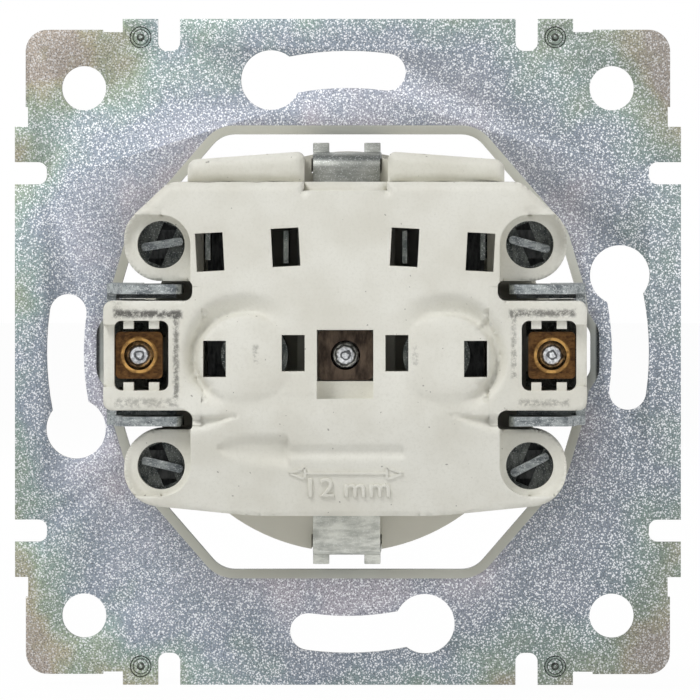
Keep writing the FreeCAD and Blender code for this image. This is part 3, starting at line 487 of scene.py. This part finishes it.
def plain_mesh(piece):
    """Turns a piece with live modifiers into a plain mesh."""
    graph = bpy.context.evaluated_depsgraph_get()
    mesh = bpy.data.meshes.new_from_object(piece.evaluated_get(graph))
    piece.modifiers.clear()
    piece.data = mesh
    return piece


def reshaped(mesh, change):
    """Runs a change on a mesh, given in the form that can be edited."""
    shape = bmesh.new()
    shape.from_mesh(mesh)
    change(shape)
    shape.to_mesh(mesh)
    shape.free()


def merge(shape):
    bmesh.ops.remove_doubles(shape, verts=shape.verts, dist=MERGE)
    bmesh.ops.dissolve_degenerate(shape, edges=shape.edges, dist=MERGE)
    bmesh.ops.dissolve_limit(shape, angle_limit=math.radians(0.5), verts=shape.verts, edges=shape.edges)


def softened(node, width, before=None, after=None):
    """A merged copy of a node with rounded edges, which stands for it."""
    mesh = nodes[node].data.copy()
    reshaped(mesh, merge)
    if before:
        reshaped(mesh, before)
        reshaped(mesh, merge)
    piece = placed("soft_" + node, mesh)
    bevel = piece.modifiers.new("edges", "BEVEL")
    bevel.width = width * MM
    bevel.segments = 2
    bevel.limit_method = "ANGLE"
    bevel.angle_limit = BEVEL_ANGLE
    plain_mesh(piece)
    if after:
        reshaped(piece.data, after)
    piece.data.shade_smooth()
    piece.data.set_sharp_from_angle(angle=SMOOTH_ANGLE)
    dress(piece, SLOT_OF[node])
    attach(piece, nodes[node]["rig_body"])
    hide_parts(node)
    print(piece.name, len(piece.data.polygons), "faces")


# %% [markdown]
# ## The soft forms of the moulded back
# The mould maker ground hollows and slopes into the tool by hand, and they show on the real back as
# soft shades: a crescent round each boss, a scoop beside each lower slot, ears that fall toward their
# wire entries, a leaf for stripping wire. The model has their main forms as plain steps. Here the
# steps round the bosses and in the leaf are laid flat, the skin is cut into small squares, and every
# point of it is lowered or raised by one rule of its place.

# %% Levels of the moulded back, in millimetres
PLATEAU = 27.0
ARM_LEVEL = 26.5
ARM_START = 15.0
ARM_HALF = 7.3
EAR_LEVEL = 23.0
EAR_START = 16.3
BOSS = (10.4, -0.3)
ENTRY = (19.25, 11.55)
LEAF_LEVEL = 25.6
LEDGE_LEVEL = 25.5
SILL_LEVEL = 25.0
SILL_DEPTH = 17.0
SKIN_FLOOR = 25.2
LOWEST_SKIN = 17.5
SLOPE_START = -6.3
SLOPE = 3.0 / 12.45
SLOPE_BLEND = 1.2
STEPS_RADIUS = 7.1
LEAF_SPAN = (6.5, 14)
LEDGE_HALF = 6.3
GAUGE_ROWS = (-12.5, -8.7)
SILL_SPANS = ((4.0, 5.15), (14.75, 16))
WINDOW_ROWS = (-2.5, 13.6)
SAME = 0.02


def smooth(value, low, high):
    """0 at low and 1 at high, with an even start and end."""
    share = min(max((value - low) / (high - low), 0.0), 1.0)
    return share * share * (3 - 2 * share)


def between(value, ends):
    return ends[0] < value < ends[1]


def lower_slope(z):
    """The level of the lower slope before any hollow."""
    return PLATEAU - max(0.0, SLOPE_START - z) * SLOPE


def soft_slope(z):
    """The same slope with its upper end blended into the plateau."""
    down = SLOPE_START - z
    return PLATEAU - (math.hypot(down, SLOPE_BLEND) + down) / 2 * SLOPE


def lay_flat(shape):
    """Takes the plain steps round the bosses, in the leaf and in the gauge away, and clears the sills."""
    for vertex in shape.verts:
        x, y, z = (value / MM for value in vertex.co)
        wide = abs(x)
        in_gauge = (between(x, LEAF_SPAN) or wide < LEDGE_HALF) and between(z, GAUGE_ROWS)
        in_window = any(between(wide, span) for span in SILL_SPANS) and between(z, WINDOW_ROWS)
        if math.hypot(wide - BOSS[0], z) < STEPS_RADIUS and y > SKIN_FLOOR:
            if wide < ARM_START - SAME:
                vertex.co.y = PLATEAU * MM
            elif wide > ARM_START + SAME or y < ARM_LEVEL:
                vertex.co.y = ARM_LEVEL * MM
        elif in_gauge and LEDGE_LEVEL - SAME < y < LEAF_LEVEL + SAME:
            vertex.co.y = lower_slope(z) * MM
        elif in_window and abs(y - SILL_LEVEL) < SAME:
            vertex.co.y = SILL_DEPTH * MM


print("plateau at", PLATEAU, "mm, arms at", ARM_LEVEL, "mm, ears at", EAR_LEVEL, "mm")

# %% [markdown]
# ## One rule for each hollow
# Each rule takes a place on the back, in millimetres, and says how far the skin lies above or below
# its flat level there. Angles are in degrees and start at the outer side. The rules are made of soft
# steps, so they meet the flats without a line. Sculpting by hand could do the same, but a rule is the
# same on the left and the right, and stays when the model changes.

# %% The rules of the hollows
BOSS_RADIUS = 5.0
DOME_HEIGHT = 0.4
CRESCENT_DEPTH = 1.4
SCOOP_DEPTH = 0.85
LEAF_DEPTH = 0.75
LEAF_START = 5.95
LEAF_LENGTH = 7.4
LEDGE_DEPTH = 0.4
LEDGE_ENDS = (-6.03, 5.95)
EAR_RISE = 1.2


def crescent(x, z):
    """A domed boss with a hollow beside it, deepest toward the claw and above."""
    across, up = x - BOSS[0], (z - BOSS[1]) * 1.08
    reach = math.hypot(across, up)
    dome = DOME_HEIGHT * max(0.0, 1 - (reach / BOSS_RADIUS) ** 4)
    way = math.degrees(math.atan2(up, across))
    share = smooth(way, -75, -15) * smooth(way, 140, 75)
    width = 1.7 + 0.9 * smooth(way, 0, 60)
    hollow = share * smooth(reach, 4.75, 5.3) * (1 - smooth(reach, 5.35, 5.1 + width))
    return dome - CRESCENT_DEPTH * hollow


def scoop(x, z):
    """The hollow beside a lower slot: steep above, running out below."""
    share = smooth(x, 9.5, 15.8)
    depth = (-6.15 - z) / (1.9 * share + 0.05)
    if not 0 < depth < 1:
        return 0.0
    return -SCOOP_DEPTH * share * smooth(depth, 0, 0.3) * (1 - smooth(depth, 0.3, 1.0))


def leaf(x, z):
    """The leaf-shaped hollow beside the gauge, blunt toward the middle."""
    run = (x - LEAF_START) / LEAF_LENGTH
    if not 0 < run < 1:
        return 0.0
    top = -8.15 - 1.4 * run ** 4
    foot = -11.95 + 0.8 * run + 1.2 * run ** 5
    depth = (top - z) / max(top - foot, 0.05)
    if not 0 < depth < 1:
        return 0.0
    return -LEAF_DEPTH * (1 - 0.7 * run) * smooth(depth, 0, 0.25) * (1 - smooth(depth, 0.4, 1.0) ** 2)


def ledge(x, z):
    """The shallow ledge above the gauge's arrow."""
    if not between(x, LEDGE_ENDS):
        return 0.0
    return -LEDGE_DEPTH * smooth(z, -9.2, -10.0) * (1 - smooth(z, -10.1, -10.85))


def ear(x, z):
    """The ear falls from its outer edge toward the wire entry."""
    across, up = x - ENTRY[0], abs(z) - ENTRY[1]
    reach = math.hypot(across, up)
    way = math.degrees(math.atan2(up, across))
    share = smooth(way, -50, 15) * smooth(way, 175, 110)
    return EAR_RISE * share * smooth(reach, 2.95, 4.3)


# %% [markdown]
# ## Round off toward the outline
# A moulding's outer edges are rounder than its inner ones, because the tool is polished there and
# because of wear. Points along the outer edges are kept in a search tree. Every point of the skin
# that is near one of them sinks along a quarter circle, which a bevel this wide couldn't do over the
# small facets of the outline.

# %% Round off and bend the skin
TOP_ROUND = 1.0
SIDE_ROUND = 0.3
TOP_FROM = 15
SLOPE_FADE = 13.0
ARM_BLEND = 17.8
POINT_GAP = 0.2
SQUARE = 0.39
# How far the squares reach, along X (0) and Z (2)
SKIN_HALVES = ((0, 25.5), (2, 21.5))
# Where the outer edges lie, as seen from behind
OUTLINE_TOP = 17.5
OUTLINE_FOOT = -15.2
OUTLINE_SIDE = 24.6
SHOULDER = (17.0, 4.5)
ENTRY_WALL = 3.4
# How much a face looks to the rear: 1 is straight, 0 is not at all
REAR_OF_EDGE = 0.6
SIDE_OF_EDGE = 0.75
SKIN_FACING = 0.3


def outline_points(shape):
    """Points along the outer edges of the rear skin, for measuring how near a place is to them."""
    found = []
    for edge in shape.edges:
        if len(edge.link_faces) != 2:
            continue
        rear, side = sorted(edge.link_faces, key=lambda face: -face.normal.y)
        if rear.normal.y < REAR_OF_EDGE or abs(side.normal.y) > SIDE_OF_EDGE:
            continue
        a, b = (v.co / MM for v in edge.verts)
        centre = (a + b) / 2
        x, y, z = abs(centre.x), centre.y, centre.z
        outer = z > OUTLINE_TOP or z < OUTLINE_FOOT or x > OUTLINE_SIDE
        shoulder = x > SHOULDER[0] and abs(z) > SHOULDER[1]
        in_entry = math.hypot(x - ENTRY[0], abs(z) - ENTRY[1]) < ENTRY_WALL
        if y < LOWEST_SKIN or in_entry or not (outer or shoulder):
            continue
        steps = max(1, int((b - a).length / POINT_GAP))
        found += [a.lerp(b, i / steps) for i in range(steps + 1)]
    return found


def cut_in_squares(shape):
    """Cuts the skin that looks to the rear into squares, so that it can bend."""
    bmesh.ops.triangulate(shape, faces=shape.faces)
    for axis, half in SKIN_HALVES:
        normal = Vector([float(n == axis) for n in range(3)])
        for i in range(int(2 * half / SQUARE) + 1):
            level = (-half + i * SQUARE) * MM
            picked = []
            for face in shape.faces:
                if face.normal.y > SKIN_FACING and face.verts[0].co.y > LOWEST_SKIN * MM:
                    places = [v.co[axis] for v in face.verts]
                    if min(places) < level < max(places):
                        picked.append(face)
            around = dict.fromkeys(part for face in picked for part in (*face.edges, *face.verts))
            bmesh.ops.bisect_plane(shape, geom=picked + list(around), dist=1e-8,
                                   plane_co=normal * level, plane_no=normal)
    bmesh.ops.triangulate(shape, faces=shape.faces)


def sculpt(shape):
    """Bends the rear skin to the soft forms of the moulding."""
    rim = outline_points(shape)
    tree = KDTree(len(rim))
    for number, place in enumerate(rim):
        tree.insert(place, number)
    tree.balance()
    cut_in_squares(shape)
    for vertex in shape.verts:
        x, y, z = (value / MM for value in vertex.co)
        wide = abs(x)
        change = 0.0
        if wide < ARM_START and z < -4 and abs(y - lower_slope(z)) < 0.2:
            change += (soft_slope(z) - y) * (1 - smooth(wide, SLOPE_FADE, ARM_START))
        if y > SKIN_FLOOR or (z < -6 and y > lower_slope(z) - 1.0):
            change += crescent(wide, z) + scoop(wide, z) + leaf(x, z) + ledge(x, z)
        if wide > ARM_START - SAME and abs(y - ARM_LEVEL) < 0.05 and abs(z) < ARM_HALF:
            change += (PLATEAU - ARM_LEVEL) * (1 - smooth(wide, ARM_START, ARM_BLEND))
        if wide > EAR_START and abs(y - EAR_LEVEL) < 0.6:
            change += ear(wide, z)
        edge = tree.find((x, y, z))[0]
        near = math.hypot(x - edge.x, z - edge.z)
        bend = TOP_ROUND if z > TOP_FROM else SIDE_ROUND
        if near < bend and y > LOWEST_SKIN and y - edge.y < 0.35:
            drop = bend - math.sqrt(bend ** 2 - (bend - near) ** 2)
            change -= drop * (1 - smooth(edge.y - y, 0.0, 4 * bend))
        vertex.co.y += change * MM


softened("rear_base", 0.2, lay_flat, sculpt)
for node, width in (("plug_well", 0.2), ("support_frame", 0.12), ("earth_bracket", 0.1)):
    softened(node, width)

# %% [markdown]
# ## Under the wire entries and in the dimples
# Under each clamp's window stands a thin dark disc, a dark sheet that paints the shade deep in the
# wire entry. The frame's four locating dimples have a ring and a small point in the middle, left
# by the punch. Both are turned shapes: an outline turned about an axis. Extruded circles could make
# them too, but not with the slanted sides that catch the light.

# %% Turn an outline


def lathe(shape, outline, steps=48):
    """Turns an outline of (radius, height) points about Z, closed at both ends."""
    angles = [math.tau * i / steps for i in range(steps)]
    rings = []
    for radius, height in outline:
        places = [(radius * math.cos(angle), radius * math.sin(angle), height) for angle in angles]
        rings.append([shape.verts.new(place) for place in places])
    for low, high in zip(rings, rings[1:]):
        for i in range(steps):
            shape.faces.new((low[i], low[(i + 1) % steps], high[(i + 1) % steps], high[i]))
    shape.faces.new(list(reversed(rings[0])))
    shape.faces.new(rings[-1])


TO_REAR = Matrix.Rotation(math.radians(-90), 4, "X")


def turned_pieces(name, outline, places, slot):
    """One piece of equal turned shapes that stand at some places and point to the rear."""
    shape = bmesh.new()
    for place in places:
        part = bmesh.new()
        lathe(part, outline, 32)
        stand = Matrix.Translation(Vector(place) * MM) @ TO_REAR
        bmesh.ops.transform(part, matrix=stand, verts=part.verts)
        shape.from_mesh(mesh_of(part, "part"))
    mesh = mesh_of(shape, name)
    piece = placed(name, mesh)
    mesh.shade_smooth()
    mesh.set_sharp_from_angle(angle=SMOOTH_ANGLE)
    dress(piece, slot)
    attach(piece, "housing")
    print(name, len(places), "places,", len(mesh.polygons), "faces")


def four_corners(x, y, z):
    return [(x * a, y, z * b) for a in (1, -1) for b in (1, -1)]


# Dark discs under the clamps' windows: dark sheets that stand for the shade deep in the wire entries.
SHADE_DISC_LEVEL = 14.6
DIMPLE = (22.0, -0.36, 33.4)
SHADE_DISC = [(2.55 * MM, 0.0), (2.62 * MM, 0.1 * MM), (2.62 * MM, 0.25 * MM), (2.5 * MM, 0.3 * MM)]
turned_pieces("painted_shade_discs", SHADE_DISC, four_corners(ENTRY[0], SHADE_DISC_LEVEL, ENTRY[1]), "contact_tinned")
POINT = [(1.12 * MM, 0.0), (1.05 * MM, 0.2 * MM), (0.86 * MM, 0.22 * MM), (0.76 * MM, 0.06 * MM),
         (0.42 * MM, 0.06 * MM), (0.28 * MM, 0.2 * MM), (0.1 * MM, 0.3 * MM)]
turned_pieces("dimple_points", POINT, four_corners(*DIMPLE), "frame_steel")

# %% [markdown]
# ## Screw threads from one rule
# A thread is a ridge wound round a core, one pitch to a turn. Geometry Nodes make it from a spiral
# and a small triangle that follows it, and the same tree serves every screw, with its radius, pitch
# and length as inputs. A screw modifier could wind it too, but it has no core, and its numbers
# couldn't be named as inputs.

# %% The thread tree
THREAD_RADIUS = 1.5 * MM
CORE_RADIUS = 1.24 * MM
PITCH = 0.5 * MM
STEPS_A_TURN = 28


def thread_tree():
    tree = bpy.data.node_groups.new("thread", "GeometryNodeTree")
    for name, kind in (("Core Radius", "NodeSocketFloat"), ("Ridge", "NodeSocketFloat"),
                       ("Pitch", "NodeSocketFloat"), ("Length", "NodeSocketFloat"),
                       ("Finish", "NodeSocketMaterial")):
        tree.interface.new_socket(name=name, in_out="INPUT", socket_type=kind)
    tree.interface.new_socket(name="Geometry", in_out="OUTPUT", socket_type="NodeSocketGeometry")

    def add(kind, settings=None, **links):
        made = tree.nodes.new(kind)
        for name, value in (settings or {}).items():
            setattr(made, name, value)
        for name, value in links.items():
            socket = made.inputs[name.replace("_", " ")]
            if isinstance(value, bpy.types.NodeSocket):
                tree.links.new(value, socket)
            else:
                socket.default_value = value
        return made

    def sums(operation, first, second):
        made = tree.nodes.new("ShaderNodeMath")
        made.operation = operation
        for socket, value in zip(made.inputs, (first, second)):
            if isinstance(value, bpy.types.NodeSocket):
                tree.links.new(value, socket)
            else:
                socket.default_value = value
        return made.outputs[0]

    given = tree.nodes.new("NodeGroupInput").outputs
    turns = sums("DIVIDE", given["Length"], given["Pitch"])
    spiral = add("GeometryNodeCurveSpiral", Resolution=STEPS_A_TURN, Rotations=turns,
                 Start_Radius=given["Core Radius"], End_Radius=given["Core Radius"], Height=given["Length"])
    ridge = add("GeometryNodeCurvePrimitiveCircle", {"mode": "RADIUS"}, Resolution=3, Radius=given["Ridge"])
    wound = add("GeometryNodeCurveToMesh", Curve=spiral.outputs[0], Profile_Curve=ridge.outputs[0],
                Fill_Caps=True)
    core = add("GeometryNodeMeshCylinder", Vertices=STEPS_A_TURN * 2, Radius=given["Core Radius"],
               Depth=given["Length"])
    middle_height = sums("MULTIPLY", given["Length"], 0.5)
    lift = add("ShaderNodeCombineXYZ", Z=middle_height)
    raised = add("GeometryNodeTransform", Geometry=core.outputs["Mesh"], Translation=lift.outputs[0])
    both = tree.nodes.new("GeometryNodeJoinGeometry")
    tree.links.new(raised.outputs[0], both.inputs[0])
    tree.links.new(wound.outputs[0], both.inputs[0])
    real = add("GeometryNodeRealizeInstances", Geometry=both.outputs[0])
    coated = add("GeometryNodeSetMaterial", Geometry=real.outputs[0], Material=given["Finish"])
    tree.links.new(coated.outputs[0], tree.nodes.new("NodeGroupOutput").inputs[0])
    return tree


THREAD = thread_tree()
THREAD_INPUTS = {}
for item in THREAD.interface.items_tree:
    if item.in_out == "INPUT":
        THREAD_INPUTS[item.name] = item.identifier
print("thread tree with", len(THREAD.nodes), "nodes, inputs:", ", ".join(THREAD_INPUTS))

# %% [markdown]
# ## The three screws
# Each claw's screw and the screw in the centre have a slotted cheese head in front and a turned end
# behind, where the lathe cut them off. Head and end are turned from an outline, the slot is sawn with
# a boolean, and the thread goes between them. The screw takes its length and its head from the box of
# the solid that it stands for.

# %% Cut the three screws
HEAD_SMALL = 1.8 * MM
HEAD_LARGE = 1.9 * MM
LARGE_FROM = 2.6 * MM
END_LENGTH = 0.42 * MM
SLOT_HALF = 0.35 * MM
SLOT_DEPTH = 1.0 * MM


def wound_thread(name, length, finish):
    piece = placed(name, bpy.data.meshes.new(name))
    maker = piece.modifiers.new("thread", "NODES")
    maker.node_group = THREAD
    values = {"Core Radius": CORE_RADIUS, "Ridge": THREAD_RADIUS - CORE_RADIUS, "Pitch": PITCH,
              "Length": length, "Finish": FINISHES[finish]}
    for label, value in values.items():
        maker[THREAD_INPUTS[label]] = value
    return plain_mesh(piece)


def head_and_end(radius, height, tip):
    """The mesh of the slotted head and the turned end, without the thread between them."""
    shape = bmesh.new()
    lathe(shape, [(radius - 0.2 * MM, 0), (radius, 0.2 * MM), (radius, height)])
    lathe(shape, [(CORE_RADIUS, tip - END_LENGTH - 0.1 * MM), (CORE_RADIUS, tip - 0.25 * MM),
                  (0.95 * MM, tip - 0.04 * MM), (0.80 * MM, tip)])
    blank = placed("blank", mesh_of(shape, "head"))
    bit = bmesh.new()
    bmesh.ops.create_cube(bit, size=1)
    bmesh.ops.scale(bit, verts=bit.verts, vec=(radius * 3, SLOT_HALF * 2, SLOT_DEPTH * 2))
    cutter = placed("bit", mesh_of(bit, "bit"))
    sawn = blank.modifiers.new("slot", "BOOLEAN")
    sawn.object = cutter
    sawn.operation = "DIFFERENCE"
    mesh = plain_mesh(blank).data
    for helper in (blank, cutter):
        bpy.data.objects.remove(helper)
    return mesh


def screw(node, body):
    """A slotted screw that fills its node's own box, with its head to the front and its end to the rear."""
    low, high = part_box(node)
    head_radius = (high.x - low.x) / 2
    head_height = HEAD_SMALL if head_radius < LARGE_FROM else HEAD_LARGE
    tip = high.y - low.y
    piece = wound_thread("threaded_" + node, tip - head_height - END_LENGTH, "screw_steel")
    shape = bmesh.new()
    shape.from_mesh(piece.data)
    bmesh.ops.translate(shape, verts=shape.verts, vec=(0, 0, head_height))
    shape.from_mesh(head_and_end(head_radius, head_height, tip))
    place = Matrix.Translation(((low.x + high.x) / 2, low.y, (low.z + high.z) / 2))
    bmesh.ops.transform(shape, matrix=place @ TO_REAR, verts=shape.verts)
    shape.to_mesh(piece.data)
    shape.free()
    piece.data.shade_smooth()
    piece.data.set_sharp_from_angle(angle=SMOOTH_ANGLE)
    dress(piece, "screw_steel")
    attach(piece, body)
    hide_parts(node)
    print(piece.name, "reaches", round(tip / MM, 2), "mm")


for node in ("centre_screw", "claw_screw_left", "claw_screw_right"):
    screw(node, nodes[node]["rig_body"])

# %% [markdown]
# ## The strip gauge
# The moulder raised a double arrow and a length on the lower slope, to show how much of the wire's
# cover to strip. Each line is a thin bar and the length is written in the plain font, and both are
# laid on the skin by casting every point down on it. A texture could show them, but real relief takes
# the light as the rest of the moulding does.

# %% Raise the arrow and the length
GAUGE_LINE = -12.27 * MM
GAUGE_LEFT = 5.86 * MM
GAUGE_RIGHT = -6.0 * MM
RAISED = 0.17 * MM
MARK_PLACE = Vector((-0.2, 0.0, -14.72)) * MM
LETTER_WIDTH = 1.14


def ray_down(x, z):
    """How far to the rear the base's skin reaches at a place."""
    piece = bpy.data.objects["soft_rear_base"]
    hit, place, normal, face = piece.ray_cast(Vector((x, base_rear + 5 * MM, z)), Vector((0, -1, 0)))
    if not hit:
        raise RuntimeError("the gauge mark misses the base")
    return place.y


def laid_on_base(name, mesh):
    """Sinks a flat mark, drawn at Y = 0, into the base's skin so that it stands proud by RAISED."""
    for vertex in mesh.vertices:
        vertex.co.y += ray_down(vertex.co.x, vertex.co.z)
    piece = placed(name, mesh)
    dress(piece, "ivory_plastic")
    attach(piece, "housing")
    print(name, len(mesh.polygons), "faces")


def bar(shape, start, end, width):
    """A raised line between two points given as (x, z)."""
    a, b = Vector((start[0], 0, start[1])), Vector((end[0], 0, end[1]))
    side = (b - a).normalized().cross(Vector((0, 1, 0))) * width / 2
    corners = [a + side, b + side, b - side, a - side]
    low = [shape.verts.new(c - Vector((0, RAISED, 0))) for c in corners]
    high = [shape.verts.new(c + Vector((0, RAISED, 0))) for c in corners]
    shape.faces.new(low)
    shape.faces.new(list(reversed(high)))
    for i in range(4):
        shape.faces.new((low[i], high[i], high[(i + 1) % 4], low[(i + 1) % 4]))


def arrow():
    shape = bmesh.new()
    thick = 0.22 * MM
    head_length, head_half = 1.65 * MM, 0.6 * MM
    for tip, way in ((GAUGE_LEFT, -1), (GAUGE_RIGHT, 1)):
        foot = tip + way * head_length
        for sign in (-1, 1):
            bar(shape, (tip, GAUGE_LINE), (foot, GAUGE_LINE + sign * head_half), thick)
        bar(shape, (foot, GAUGE_LINE - head_half), (foot, GAUGE_LINE + head_half), thick)
    bar(shape, (GAUGE_LEFT - head_length, GAUGE_LINE), (GAUGE_RIGHT + head_length, GAUGE_LINE), thick)
    long_edges = [edge for edge in shape.edges if edge.calc_length() > 2 * MM]
    bmesh.ops.subdivide_edges(shape, edges=long_edges, cuts=6)
    bmesh.ops.recalc_face_normals(shape, faces=shape.faces)
    laid_on_base("gauge_arrow", mesh_of(shape, "gauge_arrow"))


def length_mark():
    letters = bpy.data.curves.new("gauge_length", "FONT")
    letters.body = "12 mm"
    letters.size = 2.75 * MM
    letters.extrude = RAISED
    letters.bevel_depth = 0.09 * MM
    letters.bevel_resolution = 2
    letters.offset = -0.04 * MM
    letters.space_character = 1.12
    letters.space_word = 0.6
    letters.align_x = "CENTER"
    piece = placed("draft", letters)
    graph = bpy.context.evaluated_depsgraph_get()
    mesh = bpy.data.meshes.new_from_object(piece.evaluated_get(graph))
    bpy.data.objects.remove(piece)
    upright = Matrix(((-LETTER_WIDTH, 0, 0, 0), (0, 0, 1, 0), (0, 1, 0, 0), (0, 0, 0, 1)))
    mesh.transform(Matrix.Translation(MARK_PLACE) @ upright)
    laid_on_base("gauge_length", mesh)


arrow()
length_mark()

# %% [markdown]
# ## The studio
# Catalogue photos of small hardware stand on white. The floor and the world show plain white to the
# eye, to gloss and through clear things, while the light that they give to the object stays low, so
# that its forms keep their shade. A white card behind the object would do the same in a real studio.
# The floor still takes a soft shadow.

# %% Floor and world
FLOOR_SIZE = 6.0
FLOOR_SHADE = 0.86
FLOOR_GLOW = 0.97
WORLD_FILL = 0.34


def white_floor():
    recipe = Recipe(bpy.data.materials.new("studio_floor"))
    matt = recipe.node("BsdfDiffuse", {}, {"Color": (FLOOR_SHADE, FLOOR_SHADE, FLOOR_SHADE, 1)}, "BSDF")
    glow = recipe.node("Emission", {}, {"Color": (1, 1, 1, 1), "Strength": 1.0}, "Emission")
    mixed = recipe.node("MixShader", {}, {0: recipe.seen_directly() * FLOOR_GLOW, 1: matt, 2: glow})
    recipe.node("OutputMaterial", {}, {"Surface": mixed}, None)
    return recipe.owner


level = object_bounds()[0].z
half = FLOOR_SIZE / 2
corners = [(-half, -half, level), (half, -half, level), (half, half, level), (-half, half, level)]
ground = bpy.data.meshes.new("floor")
ground.from_pydata(corners, [], [(0, 1, 2, 3)])
floor = placed("floor", ground)
floor.data.materials.append(white_floor())

world = bpy.data.worlds.new("studio")
bpy.context.scene.world = world
sky = Recipe(world)
strength = sky.seen_directly() * (1 - WORLD_FILL) + WORLD_FILL
light = sky.node("Background", {}, {"Color": (1, 1, 1, 1), "Strength": strength})
sky.node("OutputWorld", {}, {"Surface": light}, None)
print("floor at", round(level / MM, 2), "mm, world fill", WORLD_FILL)

# %% [markdown]
# ## Soft lamps
# The photo's shadows are short and soft: one large lamp stands high on the left, seen from behind,
# and a weaker one low on the right. A third lamp in front keeps the other side from going dark when
# the object is turned. They are large squares, as a studio's soft boxes are, because small lamps
# would draw hard shadows in the hollows.

# %% Soft lamps


def lamp(name, place, size, power):
    light = bpy.data.lights.new(name, "AREA")
    light.shape = "SQUARE"
    light.size = size
    light.energy = power
    holder = placed(name, light)
    holder.location = place
    holder.rotation_mode = "QUATERNION"
    holder.rotation_quaternion = Vector(place).to_track_quat("Z", "Y")
    print(name, "lamp,", power, "watts")


lamp("key", (0.55, 0.75, 0.95), 0.45, 9.8)
lamp("side", (-0.8, 0.7, 0.25), 0.5, 2.0)
lamp("front", (0.3, -0.9, 0.6), 0.6, 5.0)

# %% [markdown]
# ## The camera
# The picture was taken from far behind the insert, nearly square on: the plug well's rim shows a
# little below the base, and the left claw's arm a little more than the right one's, which puts the
# camera slightly up and to the right.

# %% Set the camera
CAMERA_PLACE = Vector((-15.4, 1400.0, 21.0)) * MM
CAMERA_AIM = Vector((-0.23, 0.0, 0.21)) * MM
PICTURE_PIXELS = 700
PIXELS_PER_MM = 9.42
SENSOR = 36.0

eye = bpy.data.cameras.new("camera")
eye.sensor_width = SENSOR
reach = (CAMERA_PLACE - CAMERA_AIM).length / MM
eye.lens = PIXELS_PER_MM * reach * SENSOR / PICTURE_PIXELS
camera = placed("camera", eye)
camera.location = CAMERA_PLACE
camera.rotation_mode = "QUATERNION"
camera.rotation_quaternion = (CAMERA_PLACE - CAMERA_AIM).to_track_quat("Z", "Y")
bpy.context.scene.camera = camera
bpy.context.scene.view_settings.view_transform = "Standard"
print("lens", round(eye.lens, 1), "mm")
